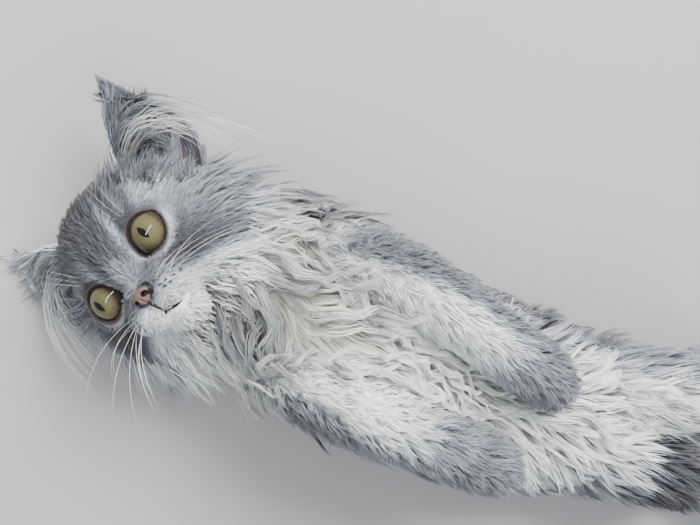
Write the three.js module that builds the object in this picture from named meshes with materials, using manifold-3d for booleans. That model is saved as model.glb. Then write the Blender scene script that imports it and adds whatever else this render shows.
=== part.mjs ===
// A long-haired persian kitten lying on its back, life size, as a still museum model.
// Millimetres. The floor is z = 0 and the origin is on it, under the middle of the back.
// +X runs from the head to the tail, +Y to the cat's left and +Z up, to the belly.
import * as THREE from 'three';
import { mergeVertices } from 'three/addons/utils/BufferGeometryUtils.js';
import Module from 'manifold-3d';

const wasm = await Module();
wasm.setup();

// Driving sizes
const gap = 0.3; // between pieces that touch
const huge = 900; // blocks that cut
const eyeHeight = 63.5; // the eyes above the floor
const eyeSpacing = 36.6; // pupil to pupil
const eyeRadius = 10.4;
const eyeForward = 3.4; // the eye's front, past the line between the eyes
const lidRadius = 8.4; // half the opening between the lids
const lidThickness = 1.5;
const earDepth = 18;
const earWall = 2.4;
const earHollow = 5; // how far forward the hollow sits in the ear
const rootSink = 5; // how deep a lock's root goes below the core
const fine = 0.002; // edges shorter than this are closed up
const tipGrowth = 3; // a lock grown all over is drawn out this many times as far at its tip
const coreShare = 0.5; // how far the core reaches from the skin to the coat's tips

// Places along X of the thin cuts between the lengths of a body
const cutHead = -136;
const cutTrunk = [-106, -8, 82];
const cutForelegLeft = [12];
const cutForelegRight = [2];
const cutHindleg = [210];
const cutTail = [196, 268];

// A body is a bent, plump form with rounded ends. coat is the depth of its fur, from skin to tips.
// Each station is x, y, z, half width and half height, out to the tips of the coat.
const trunk = {
  blunt: 0.3,
  coat: 16,
  sides: 16,
  rings: 20,
  stations: [
    [-160, 12, 44, 46, 38],
    [-130, 12, 44, 58, 44],
    [-98, 7, 44, 58, 47],
    [-65, 1, 44, 57, 48],
    [-30, -6, 44, 56, 46],
    [5, -12, 43, 57, 45],
    [40, -13, 43, 57, 44],
    [75, -13, 42, 56, 43],
    [108, -12, 40, 53, 42],
    [140, -9, 39, 48, 40],
    [168, -6, 36, 30, 32],
  ],
};

const forelegLeft = {
  blunt: 0.5,
  coat: 7,
  sides: 12,
  rings: 14,
  stations: [
    [-100, 36, 52, 22, 24],
    [-74, 36, 68, 22, 22],
    [-50, 31, 83, 20, 19],
    [-15, 21, 91, 17.5, 17],
    [15, 12, 92, 18.5, 17],
    [37, 5, 86, 19, 18],
    [52, 1, 75, 13, 13],
  ],
};

const forelegRight = {
  ...forelegLeft,
  stations: [
    [-104, -28, 52, 22, 24],
    [-82, -29, 67, 22, 22],
    [-60, -31, 80, 20, 19],
    [-25, -35, 88, 17.5, 17],
    [3, -39, 88, 18.5, 17],
    [23, -42, 83, 19, 18],
    [38, -44, 72, 13, 13],
  ],
};

const hindlegLeft = {
  blunt: 0.5,
  coat: 9,
  sides: 12,
  rings: 16,
  stations: [
    [96, 6, 42, 34, 34],
    [130, 15, 54, 31, 30],
    [163, 21, 64, 26, 25],
    [195, 29, 48, 21, 20],
    [226, 38, 18, 17, 18],
    [256, 42, 19, 16, 15],
    [284, 44, 30, 19, 17],
    [304, 45, 40, 13, 12],
  ],
};

const hindlegRight = {
  ...hindlegLeft,
  stations: [
    [96, -30, 42, 34, 34],
    [130, -29, 54, 31, 30],
    [163, -29, 64, 26, 25],
    [195, -36, 48, 21, 20],
    [226, -46, 18, 17, 18],
    [256, -50, 19, 16, 15],
    [284, -52, 30, 19, 17],
    [304, -53, 40, 13, 12],
  ],
};

const tail = {
  blunt: 0.4,
  coat: 20,
  sides: 12,
  rings: 16,
  stations: [
    [126, -8, 20, 14, 14],
    [160, -5, 21, 18, 18],
    [195, -4, 23, 24, 24],
    [235, -4, 25, 28, 27],
    [280, -2, 25, 28, 27],
    [325, 6, 23, 25, 24],
    [362, 15, 19, 14, 14],
  ],
};

// Locks of each coat: rows along the body and locks around it, from one angle to another.
// Angle 0 is the cat's left, 90 up and 180 its right. Sizes are one lock's length, width and thickness.
const trunkLocks = {
  row: 32, across: 23, from: -12, to: 192,
  length: 50, width: 22, thickness: 5,
  turn: 20, bend: 9, segments: 3,
};
const forelegLocks = {
  row: 25, across: 17, from: -20, to: 200,
  length: 28, width: 14, thickness: 3,
  turn: 8, bend: 3, segments: 2,
};
const hindlegLocks = {
  row: 30, across: 22, from: -40, to: 220,
  length: 38, width: 19, thickness: 4,
  turn: 12, bend: 5, segments: 2,
};
const tailLocks = {
  row: 32, across: 24, from: -8, to: 188,
  length: 50, width: 21, thickness: 5,
  turn: 12, bend: 6, segments: 3,
};

// The head's own frame: x to the cat's left, y to the crown, z to the nose, from between the eyes
const facing = new THREE.Vector3(-0.477, -0.273, 0.835).normalize();
const crown = new THREE.Vector3(-0.863, 0.324, -0.387).normalize();
const leftward = new THREE.Vector3().crossVectors(crown, facing).normalize();
const headFrame = new THREE.Matrix4().makeBasis(leftward, crown, facing).setPosition(-175, 2, eyeHeight);

// Seeded numbers from -1 to 1
let seed = 20417;
function vary() {
  seed = (seed * 1664525 + 1013904223) % 4294967296;
  return seed / 2147483648 - 1;
}

const radians = THREE.MathUtils.degToRad;
const vector = (x, y, z) => new THREE.Vector3(x, y, z);

// A three.js geometry becomes a solid once only its positions are left and shared, with its faces out
function solid(geometry) {
  geometry.deleteAttribute('normal');
  geometry.deleteAttribute('uv');
  const merged = mergeVertices(geometry, 1e-4);
  const points = merged.attributes.position;
  const corners = merged.index.array;
  const [a, b, c] = [0, 1, 2].map(() => new THREE.Vector3());
  let volume = 0;
  for (let i = 0; i < corners.length; i += 3) {
    a.fromBufferAttribute(points, corners[i]);
    b.fromBufferAttribute(points, corners[i + 1]);
    c.fromBufferAttribute(points, corners[i + 2]);
    volume += a.dot(b.cross(c));
  }
  const triVerts = new Uint32Array(volume < 0 ? corners.slice().reverse() : corners);
  const vertProperties = new Float32Array(points.array);
  return new wasm.Manifold(new wasm.Mesh({ numProp: 3, vertProperties, triVerts, tolerance: fine }));
}

function largest(shape) {
  const pieces = shape.decompose();
  return pieces.reduce((best, piece) => (piece.volume() > best.volume() ? piece : best));
}

const join = (shapes) => shapes.reduce((sum, shape) => sum.add(shape));
const without = (shape, others) => others.reduce((rest, other) => rest.subtract(other), shape);

function block(x, y, z) {
  return solid(new THREE.BoxGeometry(huge, huge, huge).translate(x, y, z));
}

// All that lies past x, towards the tail, and all that lies short of it
const past = (x) => block(x + huge / 2, 0, 0);
const short = (x) => block(x - huge / 2, 0, 0);
const floor = block(0, 0, -huge / 2);

// Measures a body at s, from 0 at its first station to 1 at its last
function measure(body) {
  const line = new THREE.CatmullRomCurve3(body.stations.map(([x, y, z]) => vector(x, y, z)));
  const size = new THREE.CatmullRomCurve3(body.stations.map(([, , , w, h]) => vector(w, h, 0)));
  const at = (s) => {
    const along = line.getTangent(s);
    const side = new THREE.Vector3().crossVectors(vector(0, 0, 1), along).normalize();
    const lift = new THREE.Vector3().crossVectors(along, side);
    const round = Math.pow(Math.max(1e-6, 1 - (1 - 2 * s) ** 2), body.blunt / 2);
    return { centre: line.getPoint(s), half: size.getPoint(s), along, side, lift, round };
  };
  return { at, length: line.getLength() };
}

// The weight on it presses the coat flat under a body, where the sine of the angle is negative
const pressed = (sine) => THREE.MathUtils.clamp(1 + 1.3 * sine, 0, 1);

// A point of a body at s and an angle around it, lowered by a share of the coat's depth from the tips.
// Past the body's end it goes straight on, no nearer to the axis than a least share of the radius.
function surface({ at, length }, body, s, angle, lower, least = 0) {
  const held = THREE.MathUtils.clamp(s, 0.001, 0.999);
  const { centre, half, along, side, lift, round } = at(held);
  const depth = lower * body.coat * pressed(Math.sin(angle));
  const share = Math.max(round, least);
  return centre
    .addScaledVector(along, (s - held) * length)
    .addScaledVector(side, Math.cos(angle) * share * (half.x - depth))
    .addScaledVector(lift, Math.sin(angle) * share * (half.y - depth));
}

// A body's closed form, lowered from the coat's tips and then grown all over
function plump(body, lower, grow) {
  const { at } = measure(body);
  const geometry = new THREE.SphereGeometry(1, body.sides, body.rings);
  const position = geometry.attributes.position;
  for (let i = 0; i < position.count; i += 1) {
    const pole = THREE.MathUtils.clamp(position.getY(i), -1, 1);
    const ring = Math.hypot(position.getX(i), position.getZ(i));
    const { centre, half, along, side, lift, round } = at((1 - pole) / 2);
    const [cosine, sine] = ring < 1e-6 ? [0, 0] : [-position.getX(i) / ring, position.getZ(i) / ring];
    const depth = lower * body.coat * pressed(sine);
    const point = centre
      .addScaledVector(side, cosine * round * (half.x - depth + grow))
      .addScaledVector(lift, sine * round * (half.y - depth + grow))
      .addScaledVector(along, pole * (lower * body.coat - grow));
    position.setXYZ(i, point.x, point.y, point.z);
  }
  return solid(geometry);
}

const core = (body, grow = 0) => plump(body, 1 - coreShare, grow);

// Whether a point is inside a body grown by a margin
function inside(body, point, margin) {
  const { at } = measure(body);
  const steps = 30;
  for (let i = 1; i < steps; i += 1) {
    const { centre, half, along, side, lift, round } = at(i / steps);
    const away = point.clone().sub(centre);
    const near = Math.abs(away.dot(along)) < 12;
    const reach = Math.hypot(away.dot(side) / (half.x + margin), away.dot(lift) / (half.y + margin));
    if (near && reach < round) return true;
  }
  return false;
}

// One flat lock: a four-sided cone bent along a path, widest a third of the way and drawn out to its tip
function lockSolid({ path, outward, width, thickness, segments }, grow) {
  const geometry = new THREE.ConeGeometry(1, 1, 4, segments);
  const position = geometry.attributes.position;
  for (let i = 0; i < position.count; i += 1) {
    const t = position.getY(i) + 0.5;
    const ring = Math.hypot(position.getX(i), position.getZ(i));
    const [acrossShare, outShare] = ring < 1e-6 ? [0, 0] : [position.getX(i) / ring, position.getZ(i) / ring];
    const swell = Math.sin(Math.PI * (0.25 + 0.75 * t));
    const along = path(t + 0.02).sub(path(t - 0.02)).normalize();
    const out = outward(t).projectOnPlane(along).normalize();
    const across = new THREE.Vector3().crossVectors(along, out);
    const end = Math.trunc(1.01 * (2 * t - 1));
    const chord = path(t).sub(path(t - end / segments)).multiplyScalar(end).normalize();
    const point = path(t)
      .addScaledVector(across, acrossShare * ((swell * width) / 2 + grow))
      .addScaledVector(out, outShare * ((swell * thickness) / 2 + grow))
      .addScaledVector(chord, end * grow * tipGrowth);
    position.setXYZ(i, point.x, point.y, point.z);
  }
  return solid(geometry);
}

// A lock that follows the lie of a body's coat: it leaves the core, lies along the tips and bends aside
function bodyLock(body, s, angle, look) {
  const frame = measure(body);
  const { half, round } = frame.at(s);
  const size = look.length * (1 + 0.16 * vary());
  const turn = radians(look.turn * vary());
  const bend = look.bend * vary();
  const root = 1 - coreShare + rootSink / body.coat;
  const tip = 0.12 * vary();
  const lower = (t) => THREE.MathUtils.lerp(root, tip, Math.min(1, t * (2 - t)));
  const aside = (t) => (size * t * Math.sin(turn) + bend * Math.sin(Math.PI * t)) / ((half.x + half.y) / 2);
  const onward = (t) => s + (size * t * Math.cos(turn)) / frame.length;
  const path = (t) => surface(frame, body, onward(t), angle + aside(t), lower(t), 0.35 * round);
  const outward = (t) => path(t).sub(surface(frame, body, onward(t), angle + Math.PI, 0, 0.35 * round));
  const width = look.width * (1 + 0.15 * vary());
  return { path, outward, width, thickness: look.thickness, segments: look.segments };
}

// Locks in staggered rows over a body, from one place along X to another, rooted clear of other bodies
function coatLocks(body, look, fromX, toX, others) {
  const { at, length } = measure(body);
  const rows = Math.floor(length / look.row);
  const sweep = radians(look.to - look.from);
  const locks = [];
  for (let row = 0; row < rows; row += 1) {
    const s = (row + 0.5) / rows;
    const { centre, half, round } = at(s);
    const count = Math.max(2, Math.round((sweep * round * (half.x + half.y)) / 2 / look.across));
    for (let i = 0; i < count; i += 1) {
      const angle = radians(look.from) + (sweep * (i + (row % 2 ? 0.75 : 0.25))) / count;
      const lock = bodyLock(body, s, angle + 0.05 * vary(), look);
      const clear = others.every((other) => !inside(other, lock.path(0.3), -2));
      if (centre.x > fromX && centre.x < toX && clear) locks.push(lock);
    }
  }
  return locks;
}

const both = [1, -1];
const inHead = (x, y, z) => vector(x, y, z).applyMatrix4(headFrame);
const alongHead = (x, y, z) => vector(x, y, z).transformDirection(headFrame);

// The skull's masses in the head's frame: x, y, z and the radii along them. They flow into one another.
const flow = 2.2;
const skullMiddle = vector(0, -6, -27);
const muzzleTilt = 0.35; // down from straight ahead
const skullEggs = [
  [0, 7, -31, 37, 34, 36],
  [0, 17, -15, 23, 17, 15],
  ...both.map((side) => [side * 20, -10, -24, 24, 24, 25]),
  [0, -15, -4, 17, 13, 13],
  ...both.map((side) => [side * 8.5, -20.5, 2.5, 9, 7.5, 8.5]),
  [0, -31, -4, 9, 6.5, 9],
  [0, -4, -2, 6.5, 12, 8],
];

// How far a point is outside the skull, in millimetres
function outsideSkull(point) {
  const sum = skullEggs.reduce((total, [x, y, z, radiusX, radiusY, radiusZ]) => {
    const away = Math.hypot((point.x - x) / radiusX, (point.y - y) / radiusY, (point.z - z) / radiusZ);
    return total + Math.exp((-(away - 1) * Math.min(radiusX, radiusY, radiusZ)) / flow);
  }, 0);
  return -flow * Math.log(sum);
}

// The skull's surface along a direction from its middle, searched from outside inwards
function skullPoint(direction) {
  const step = 1;
  let far = 75;
  while (outsideSkull(skullMiddle.clone().addScaledVector(direction, far)) > 0) far -= step;
  let near = far;
  far += step;
  for (let i = 0; i < 12; i += 1) {
    const middle = (near + far) / 2;
    if (outsideSkull(skullMiddle.clone().addScaledVector(direction, middle)) > 0) far = middle;
    else near = middle;
  }
  return skullMiddle.clone().addScaledVector(direction, near);
}

// The point of the skull's surface nearest in direction to a point of the head's frame
const onSkull = (x, y, z) => skullPoint(vector(x, y, z).sub(skullMiddle).normalize());

// The skull, with its rings closest together around the muzzle
function skull(grow) {
  const geometry = new THREE.SphereGeometry(1, 24, 18);
  const position = geometry.attributes.position;
  for (let i = 0; i < position.count; i += 1) {
    const height = THREE.MathUtils.clamp(position.getY(i), -1, 1);
    const polar = Math.PI * Math.pow(Math.acos(height) / Math.PI, 1.4);
    const around = Math.atan2(position.getZ(i), position.getX(i));
    const ring = Math.sin(polar);
    const direction = vector(ring * Math.cos(around), ring * Math.sin(around), Math.cos(polar))
      .applyAxisAngle(vector(1, 0, 0), muzzleTilt);
    const point = skullPoint(direction).addScaledVector(direction, grow);
    position.setXYZ(i, point.x, point.y, point.z);
  }
  return solid(geometry.applyMatrix4(headFrame));
}

// An egg in the head's frame
function egg(x, y, z, radiusX, radiusY, radiusZ, grow = 0, sides = 12, rings = 8) {
  const geometry = new THREE.SphereGeometry(1, sides, rings);
  geometry.scale(radiusX + grow, radiusY + grow, radiusZ + grow);
  geometry.translate(x, y, z);
  return solid(geometry.applyMatrix4(headFrame));
}

const eyePlace = (side) => vector((side * eyeSpacing) / 2, 0, eyeForward - eyeRadius);
const eyeAxis = (side) => vector(side * 0.14, 0.02, 1).normalize();

function eyeSolid(side, grow) {
  const { x, y, z } = eyePlace(side);
  return egg(x, y, z, eyeRadius, eyeRadius, eyeRadius, grow, 14, 9);
}

// A form made around +Z, turned to an eye's axis and set on the eye's centre
function onEye(side, geometry) {
  const turn = new THREE.Quaternion().setFromUnitVectors(vector(0, 0, 1), eyeAxis(side));
  geometry.applyQuaternion(turn);
  geometry.translate(...eyePlace(side).toArray());
  return solid(geometry.applyMatrix4(headFrame));
}

const lidPlane = Math.sqrt(eyeRadius ** 2 - lidRadius ** 2);

function lids(side) {
  const ring = new THREE.TorusGeometry(lidRadius + 0.5, lidThickness, 5, 14);
  return onEye(side, ring.translate(0, 0, lidPlane + 0.6));
}

function socket(side) {
  const flare = new THREE.CylinderGeometry(lidRadius + 5, lidRadius - 0.5, 10, 14).rotateX(Math.PI / 2);
  return onEye(side, flare.translate(0, 0, lidPlane + 4));
}

function noseSolid(grow) {
  return egg(0, -15, 10.5, 5.4, 4.1, 4, grow, 10, 8);
}

const nostrils = both.map((side) => egg(side * 2.9, -15.6, 14.2, 1.5, 1.1, 2.4, 0, 6, 4));

// The line of the mouth, sunk between the lips and up to the nose
function groove(points, radius) {
  const path = new THREE.CatmullRomCurve3(points.map(([x, y, z]) => onSkull(x, y, z)));
  const corner = (i) => new THREE.Vector2(Math.cos((i * Math.PI) / 3), Math.sin((i * Math.PI) / 3));
  const section = new THREE.Shape([0, 1, 2, 3, 4, 5].map((i) => corner(i).multiplyScalar(radius)));
  const tube = new THREE.ExtrudeGeometry(section, { extrudePath: path, steps: 6, bevelEnabled: false });
  return solid(tube.applyMatrix4(headFrame));
}

const mouth = [
  groove([[0, -18.5, 12], [0, -22, 11], [0, -26, 8]], 0.9),
  ...both.map((side) => {
    const line = [[0, -26, 8], [side * 5, -28.2, 6], [side * 11, -28.2, 3], [side * 17, -25, -4]];
    return groove(line, 1.1);
  }),
];

// A free lock in the head's frame, from a root along a direction, bending towards another
function headLock(root, direction, bendTo, face, size, width, thickness, segments = 3, curve = 0.5) {
  const start = inHead(...root);
  const first = alongHead(...direction).multiplyScalar(size);
  const second = alongHead(...bendTo).multiplyScalar(size * curve);
  const out = alongHead(...face);
  const path = (t) => start.clone().addScaledVector(first, t).addScaledVector(second, t * t);
  return { path, outward: () => out.clone(), width, thickness, segments };
}

// The ruff's first tier, around the cheeks and the chin
function ruffLocks() {
  const locks = [];
  const tiers = [
    { count: 11, ring: 32, back: -30, size: 37, from: -224, to: 44 },
    { count: 7, ring: 30, back: -18, size: 28, from: -210, to: 30 },
  ];
  tiers.forEach(({ count, ring, back, size, from, to }) => {
    for (let i = 0; i < count; i += 1) {
      const angle = radians(from + ((to - from) * (i + 0.5)) / count);
      const [x, y] = [Math.cos(angle), Math.sin(angle)];
      const low = Math.max(0, -y);
      const length = size * (1 - 0.25 * low) * (1 + 0.12 * vary());
      locks.push(headLock(
        [x * ring, y * ring * 0.8 - 6, back],
        [x * 0.85 + 0.1 * vary(), y * 0.6 - 0.4, -0.25],
        [0.1 * vary(), -0.7, -0.5],
        [x * 0.7, y * 0.6, 0.9],
        length, 19, 4,
      ));
    }
  });
  return locks;
}

// The ear as a hollowed cone that leans out and opens forward
// The edges of an ear in the head's frame, from root to tip: the one by the crown and the one by the cheek
const earInner = [[13, 22, -27], [22, 36, -27], [31, 47, -28], [44.5, 56.5, -28]];
const earOuter = [[40, -6, -29], [57, 13, -29], [57, 36, -29], [45.5, 57.5, -28.5]];
const earOpen = [0.35, 0, 1];

// An ear's form, drawn in by a wall and set forward for the hollow of its cup
function earCone(side, forward, wall) {
  const geometry = new THREE.SphereGeometry(1, 12, 10);
  const position = geometry.attributes.position;
  const edge = (points) => new THREE.CatmullRomCurve3(points.map(([x, y, z]) => vector(side * x, y, z)));
  const [inner, outer] = [edge(earInner), edge(earOuter)];
  const open = vector(...earOpen).multiply(vector(side, 1, 1)).normalize();
  for (let i = 0; i < position.count; i += 1) {
    const t = (1 - position.getY(i)) / 2;
    const [x, z] = [position.getX(i), position.getZ(i)];
    const ring = Math.max(Math.hypot(x, z), 1e-6);
    const closing = Math.min(1, 2.4 * ring) / ring;
    const near = inner.getPoint(t);
    const half = outer.getPoint(t).sub(near).multiplyScalar(0.5);
    const reach = Math.max(half.length() - wall, 0.2);
    const deep = Math.max((earDepth / 2) * Math.pow(1.02 - t, 0.6) - wall, 0.2);
    const point = near.add(half)
      .addScaledVector(half.clone().normalize(), x * closing * reach)
      .addScaledVector(open, z * closing * deep + forward);
    position.setXYZ(i, point.x, point.y, point.z);
  }
  return solid(geometry.applyMatrix4(headFrame));
}

// Long hair that arcs out of the ear and down beside the cheek, and the tuft on its tip
function earLocks(side) {
  const locks = [];
  const count = 4;
  for (let i = 0; i < count; i += 1) {
    const up = i / (count - 1);
    const size = (side > 0 ? 92 : 80) * (1 - 0.55 * up) + 3 * vary();
    locks.push(headLock(
      [side * (24 + 13 * up), 30 + 18 * up, -25],
      [side * 94, 34 - 12 * up, 14 + 6 * vary()],
      [side * -48, -82, -12],
      [side * 0.2, 0.1, 1],
      size, 6, 2, 4, 0.95,
    ));
  }
  both.forEach((lean) => locks.push(headLock(
    [side * 42, 53, -28],
    [side * (0.75 + 0.1 * lean), 0.65, 0.05 * lean],
    [side * 0.1 * lean, 0.1, 0.1],
    [0, 0, 1],
    10, 5, 2, 2,
  )));
  return locks;
}

function material(color, roughness) {
  return new THREE.MeshStandardMaterial({ color, roughness, metalness: 0 });
}

const silver = material(0x9b9a9c, 0.9);
const white = material(0xdcd9d3, 0.92);
const leather = material(0x8d6462, 0.55);
const amber = material(0x7d7a45, 0.12);

const model = new THREE.Group();
const head = new THREE.Group();
head.applyMatrix4(headFrame);
model.add(head);
model.updateMatrixWorld(true);

// A finished solid becomes a named mesh, with its points given in its group's own frame
function attach(group, name, shape, look) {
  const { numProp, vertProperties, triVerts } = largest(shape).getMesh();
  const geometry = new THREE.BufferGeometry();
  const points = new Float32Array(vertProperties.filter((value, i) => i % numProp < 3));
  geometry.setAttribute('position', new THREE.BufferAttribute(points, 3));
  geometry.setIndex(new THREE.BufferAttribute(new Uint32Array(triVerts), 1));
  geometry.applyMatrix4(group.matrixWorld.clone().invert());
  const mesh = new THREE.Mesh(geometry, look);
  mesh.name = name;
  group.add(mesh);
}

const lockSolids = (locks, grow = 0) => locks.map((lock) => lockSolid(lock, grow));

const ruff = ruffLocks();
const skullFat = skull(gap).add(core(trunk, gap).subtract(past(cutHead + gap)));
const headFat = [skullFat, ...lockSolids(ruff, gap)];
const headWhole = join([
  skull(0).add(core(trunk)).subtract(past(cutHead)),
  ...lockSolids(ruff),
]);
const openHead = join([without(headWhole, both.map(socket)), ...both.map(lids)]);
const eyesFat = both.map((side) => eyeSolid(side, gap));
attach(head, 'head', without(openHead, [...eyesFat, noseSolid(gap), ...mouth, floor]), silver);
attach(head, 'nose', without(noseSolid(0), nostrils), leather);
[['left', 1], ['right', -1]].forEach(([name, side]) => {
  attach(head, `eye_${name}`, eyeSolid(side, 0), amber);
  const cup = earCone(side, 0, 0).subtract(earCone(side, earHollow, earWall));
  const whole = join([cup, ...lockSolids(earLocks(side))]);
  attach(head, `ear_${name}`, without(whole, [...headFat, floor]), silver);
});

// A body parted into lengths by thin cuts. Locks that reach past a cut lie over the next length, and
// a length named in bare has short fur and none of its own. Returns the body grown by the gap, for
// its neighbours to be cut by.
function parts(names, body, look, { cuts, start = -huge / 2, clearOf = [], cutBy = [], bare = [], looks }) {
  const whole = core(body);
  const grown = [core(body, gap)];
  let over = [];
  names.forEach((name, i) => {
    const from = i === 0 ? start : cuts[i - 1] + gap;
    const to = i < cuts.length ? cuts[i] : huge / 2;
    const lastRow = bare.includes(names[i + 1]) ? to - look.length * 0.8 : to;
    const locks = bare.includes(name) ? [] : coatLocks(body, look, from, lastRow, clearOf);
    const length = without(bare.includes(name) ? plump(body, 0, 0) : whole, [short(from), past(to)]);
    const rooted = join([length, ...lockSolids(locks)]).subtract(short(from));
    attach(model, name, without(rooted, [...over, ...cutBy, floor]), looks[i]);
    over = lockSolids(locks, gap);
    grown.push(...over);
    if (bare.includes(name)) grown.push(plump(body, 0, gap).subtract(short(from - gap)));
  });
  return grown;
}

const forelegLeftFat = parts(['foreleg_left', 'forepaw_left'], forelegLeft, forelegLocks, {
  cuts: cutForelegLeft, clearOf: [trunk], cutBy: headFat, bare: ['forepaw_left'], looks: [silver, silver],
});
const forelegRightFat = parts(['foreleg_right', 'forepaw_right'], forelegRight, forelegLocks, {
  cuts: cutForelegRight, clearOf: [trunk], cutBy: headFat, bare: ['forepaw_right'], looks: [silver, silver],
});
const hindlegLeftFat = parts(['hindleg_left', 'hindfoot_left'], hindlegLeft, hindlegLocks, {
  cuts: cutHindleg, clearOf: [trunk, hindlegRight], bare: ['hindfoot_left'], looks: [silver, white],
});
const hindlegRightFat = parts(['hindleg_right', 'hindfoot_right'], hindlegRight, hindlegLocks, {
  cuts: cutHindleg,
  clearOf: [trunk, hindlegLeft],
  cutBy: hindlegLeftFat,
  bare: ['hindfoot_right'],
  looks: [silver, white],
});
const trunkFat = parts(['neck', 'chest', 'belly', 'hips'], trunk, trunkLocks, {
  cuts: cutTrunk,
  start: cutHead + gap,
  clearOf: [forelegLeft, forelegRight, hindlegLeft, hindlegRight],
  cutBy: [...headFat, ...forelegLeftFat, ...forelegRightFat, ...hindlegLeftFat, ...hindlegRightFat],
  looks: [white, white, white, silver],
});
parts(['tail_base', 'tail_middle', 'tail_tip'], tail, tailLocks, {
  cuts: cutTail,
  clearOf: [trunk, hindlegLeft, hindlegRight],
  cutBy: [...hindlegLeftFat, ...hindlegRightFat, ...trunkFat],
  looks: [silver, silver, silver],
});

export default model;
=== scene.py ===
import math

import bpy
import numpy as np
from mathutils import Matrix, Vector
from mathutils.kdtree import KDTree


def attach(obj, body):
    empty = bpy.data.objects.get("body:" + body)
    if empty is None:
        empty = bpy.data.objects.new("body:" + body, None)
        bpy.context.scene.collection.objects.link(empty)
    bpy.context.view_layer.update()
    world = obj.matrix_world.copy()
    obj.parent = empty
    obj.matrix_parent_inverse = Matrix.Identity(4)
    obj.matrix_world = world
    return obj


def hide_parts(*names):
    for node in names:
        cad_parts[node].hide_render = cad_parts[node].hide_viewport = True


# A long-haired persian kitten on its back, as a museum's life-size model. Forms are worked out in
# millimetres in the CAD part's frame and become metres when a mesh is made.
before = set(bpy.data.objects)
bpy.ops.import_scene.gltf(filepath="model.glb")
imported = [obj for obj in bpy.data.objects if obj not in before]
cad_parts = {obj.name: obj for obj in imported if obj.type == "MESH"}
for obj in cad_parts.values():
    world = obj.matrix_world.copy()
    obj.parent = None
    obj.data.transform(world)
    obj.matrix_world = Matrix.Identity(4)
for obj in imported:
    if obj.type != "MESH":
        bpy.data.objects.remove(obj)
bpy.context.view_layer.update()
metres = 0.001
draw = np.random.default_rng(20417)  # every random choice comes from here, in order

# The camera, where the photograph was taken from
shot = {
    "place": (-191.63, 32.8, 339.47),
    "right": (0.8833, 0.3040, 0.3569),
    "up": (-0.2819, 0.9527, -0.1139),
    "back": (-0.3746, 0.0, 0.9272),
    "lens": 32.47, "sensor": 36, "near": 0.01,
}
cameraData = bpy.data.cameras.new("camera")
cameraData.lens = shot["lens"]
cameraData.sensor_width = shot["sensor"]
cameraData.clip_start = shot["near"]
camera = bpy.data.objects.new("camera", cameraData)
bpy.context.scene.collection.objects.link(camera)
turn = Matrix((shot["right"], shot["up"], shot["back"])).transposed()
camera.matrix_world = Matrix.Translation(Vector(shot["place"]) * metres) @ turn.to_4x4()
bpy.context.scene.camera = camera
print("stage: camera")


def unit(vectors):
    return vectors / np.maximum(np.linalg.norm(vectors, axis=-1, keepdims=True), 1e-9)


def smooth(low, high, values):  # 0 below low, 1 above high, eased between
    share = np.clip((values - low) / (high - low), 0, 1)
    return share * share * (3 - 2 * share)


def hump(values, middle, width):
    return np.exp(-(((values - middle) / width) ** 2))


def blob(points, middle, radii):  # 1 at the middle, falling off over the radii
    return np.exp(-((((points - np.array(middle)) / np.array(radii)) ** 2).sum(-1)))


def lineAt(points, shares):  # a smooth line through points, from share 0 to 1
    line = np.array(points, float)
    place = np.clip(shares, 0, 1) * (len(line) - 1)
    index = np.minimum(place.astype(int), len(line) - 2)
    step = (place - index)[..., None]
    padded = np.vstack([2 * line[0] - line[1], line, 2 * line[-1] - line[-2]])
    a, b, c, d = (padded[index + i] for i in range(4))
    return 0.5 * (2 * b + (c - a) * step + (2 * a - 5 * b + 4 * c - d) * step ** 2
                  + (3 * b - a - 3 * c + d) * step ** 3)


def deselectAll():
    if bpy.context.object and bpy.context.object.mode != "OBJECT":
        bpy.ops.object.mode_set(mode="OBJECT")
    bpy.ops.object.select_all(action="DESELECT")


def pointsOf(mesh):
    flat = np.empty(len(mesh.vertices) * 3, np.float32)
    mesh.vertices.foreach_get("co", flat)
    return flat.reshape(-1, 3).astype(float)


def setPoints(mesh, points):
    mesh.vertices.foreach_set("co", points.astype(np.float32).ravel())
    mesh.update()


def applyModifiers(piece):
    deselectAll()
    bpy.context.view_layer.objects.active = piece
    piece.select_set(True)
    for modifier in list(piece.modifiers):
        bpy.ops.object.modifier_apply(modifier=modifier.name)


def ball(name, segments, rings):  # a unit ball to be shaped, with its poles on Z
    deselectAll()
    bpy.ops.mesh.primitive_uv_sphere_add(segments=segments, ring_count=rings, radius=1, location=(0, 0, 0))
    piece = bpy.context.object
    piece.name = name
    piece.data.name = name
    bpy.ops.object.shade_smooth()
    return piece


def joined(name, pieces):
    deselectAll()
    for piece in pieces:
        piece.select_set(True)
    bpy.context.view_layer.objects.active = pieces[0]
    if len(pieces) > 1:
        bpy.ops.object.join()
    pieces[0].name = name
    pieces[0].data.name = name
    return pieces[0]


def meshOf(name, points, quads, triangles, shading=None):  # points in millimetres
    mesh = bpy.data.meshes.new(name)
    mesh.vertices.add(len(points))
    mesh.vertices.foreach_set("co", (points * metres).astype(np.float32).ravel())
    corners = np.concatenate([quads.ravel(), triangles.ravel()]).astype(np.int32)
    starts = np.concatenate([
        np.arange(len(quads)) * 4,
        len(quads) * 4 + np.arange(len(triangles)) * 3,
    ]).astype(np.int32)
    mesh.loops.add(len(corners))
    mesh.loops.foreach_set("vertex_index", corners)
    mesh.polygons.add(len(starts))
    mesh.polygons.foreach_set("loop_start", starts)
    mesh.polygons.foreach_set("use_smooth", np.ones(len(starts), bool))
    mesh.update(calc_edges=True)
    if shading is not None:
        mesh.normals_split_custom_set_from_vertices(shading.tolist())
    piece = bpy.data.objects.new(name, mesh)
    bpy.context.scene.collection.objects.link(piece)
    return piece


# Where hair is eased back: beside the left ear, and close over the floor
limits = {"beside": 74, "pastBeside": 7, "low": 3, "lowest": 0.3}


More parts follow.
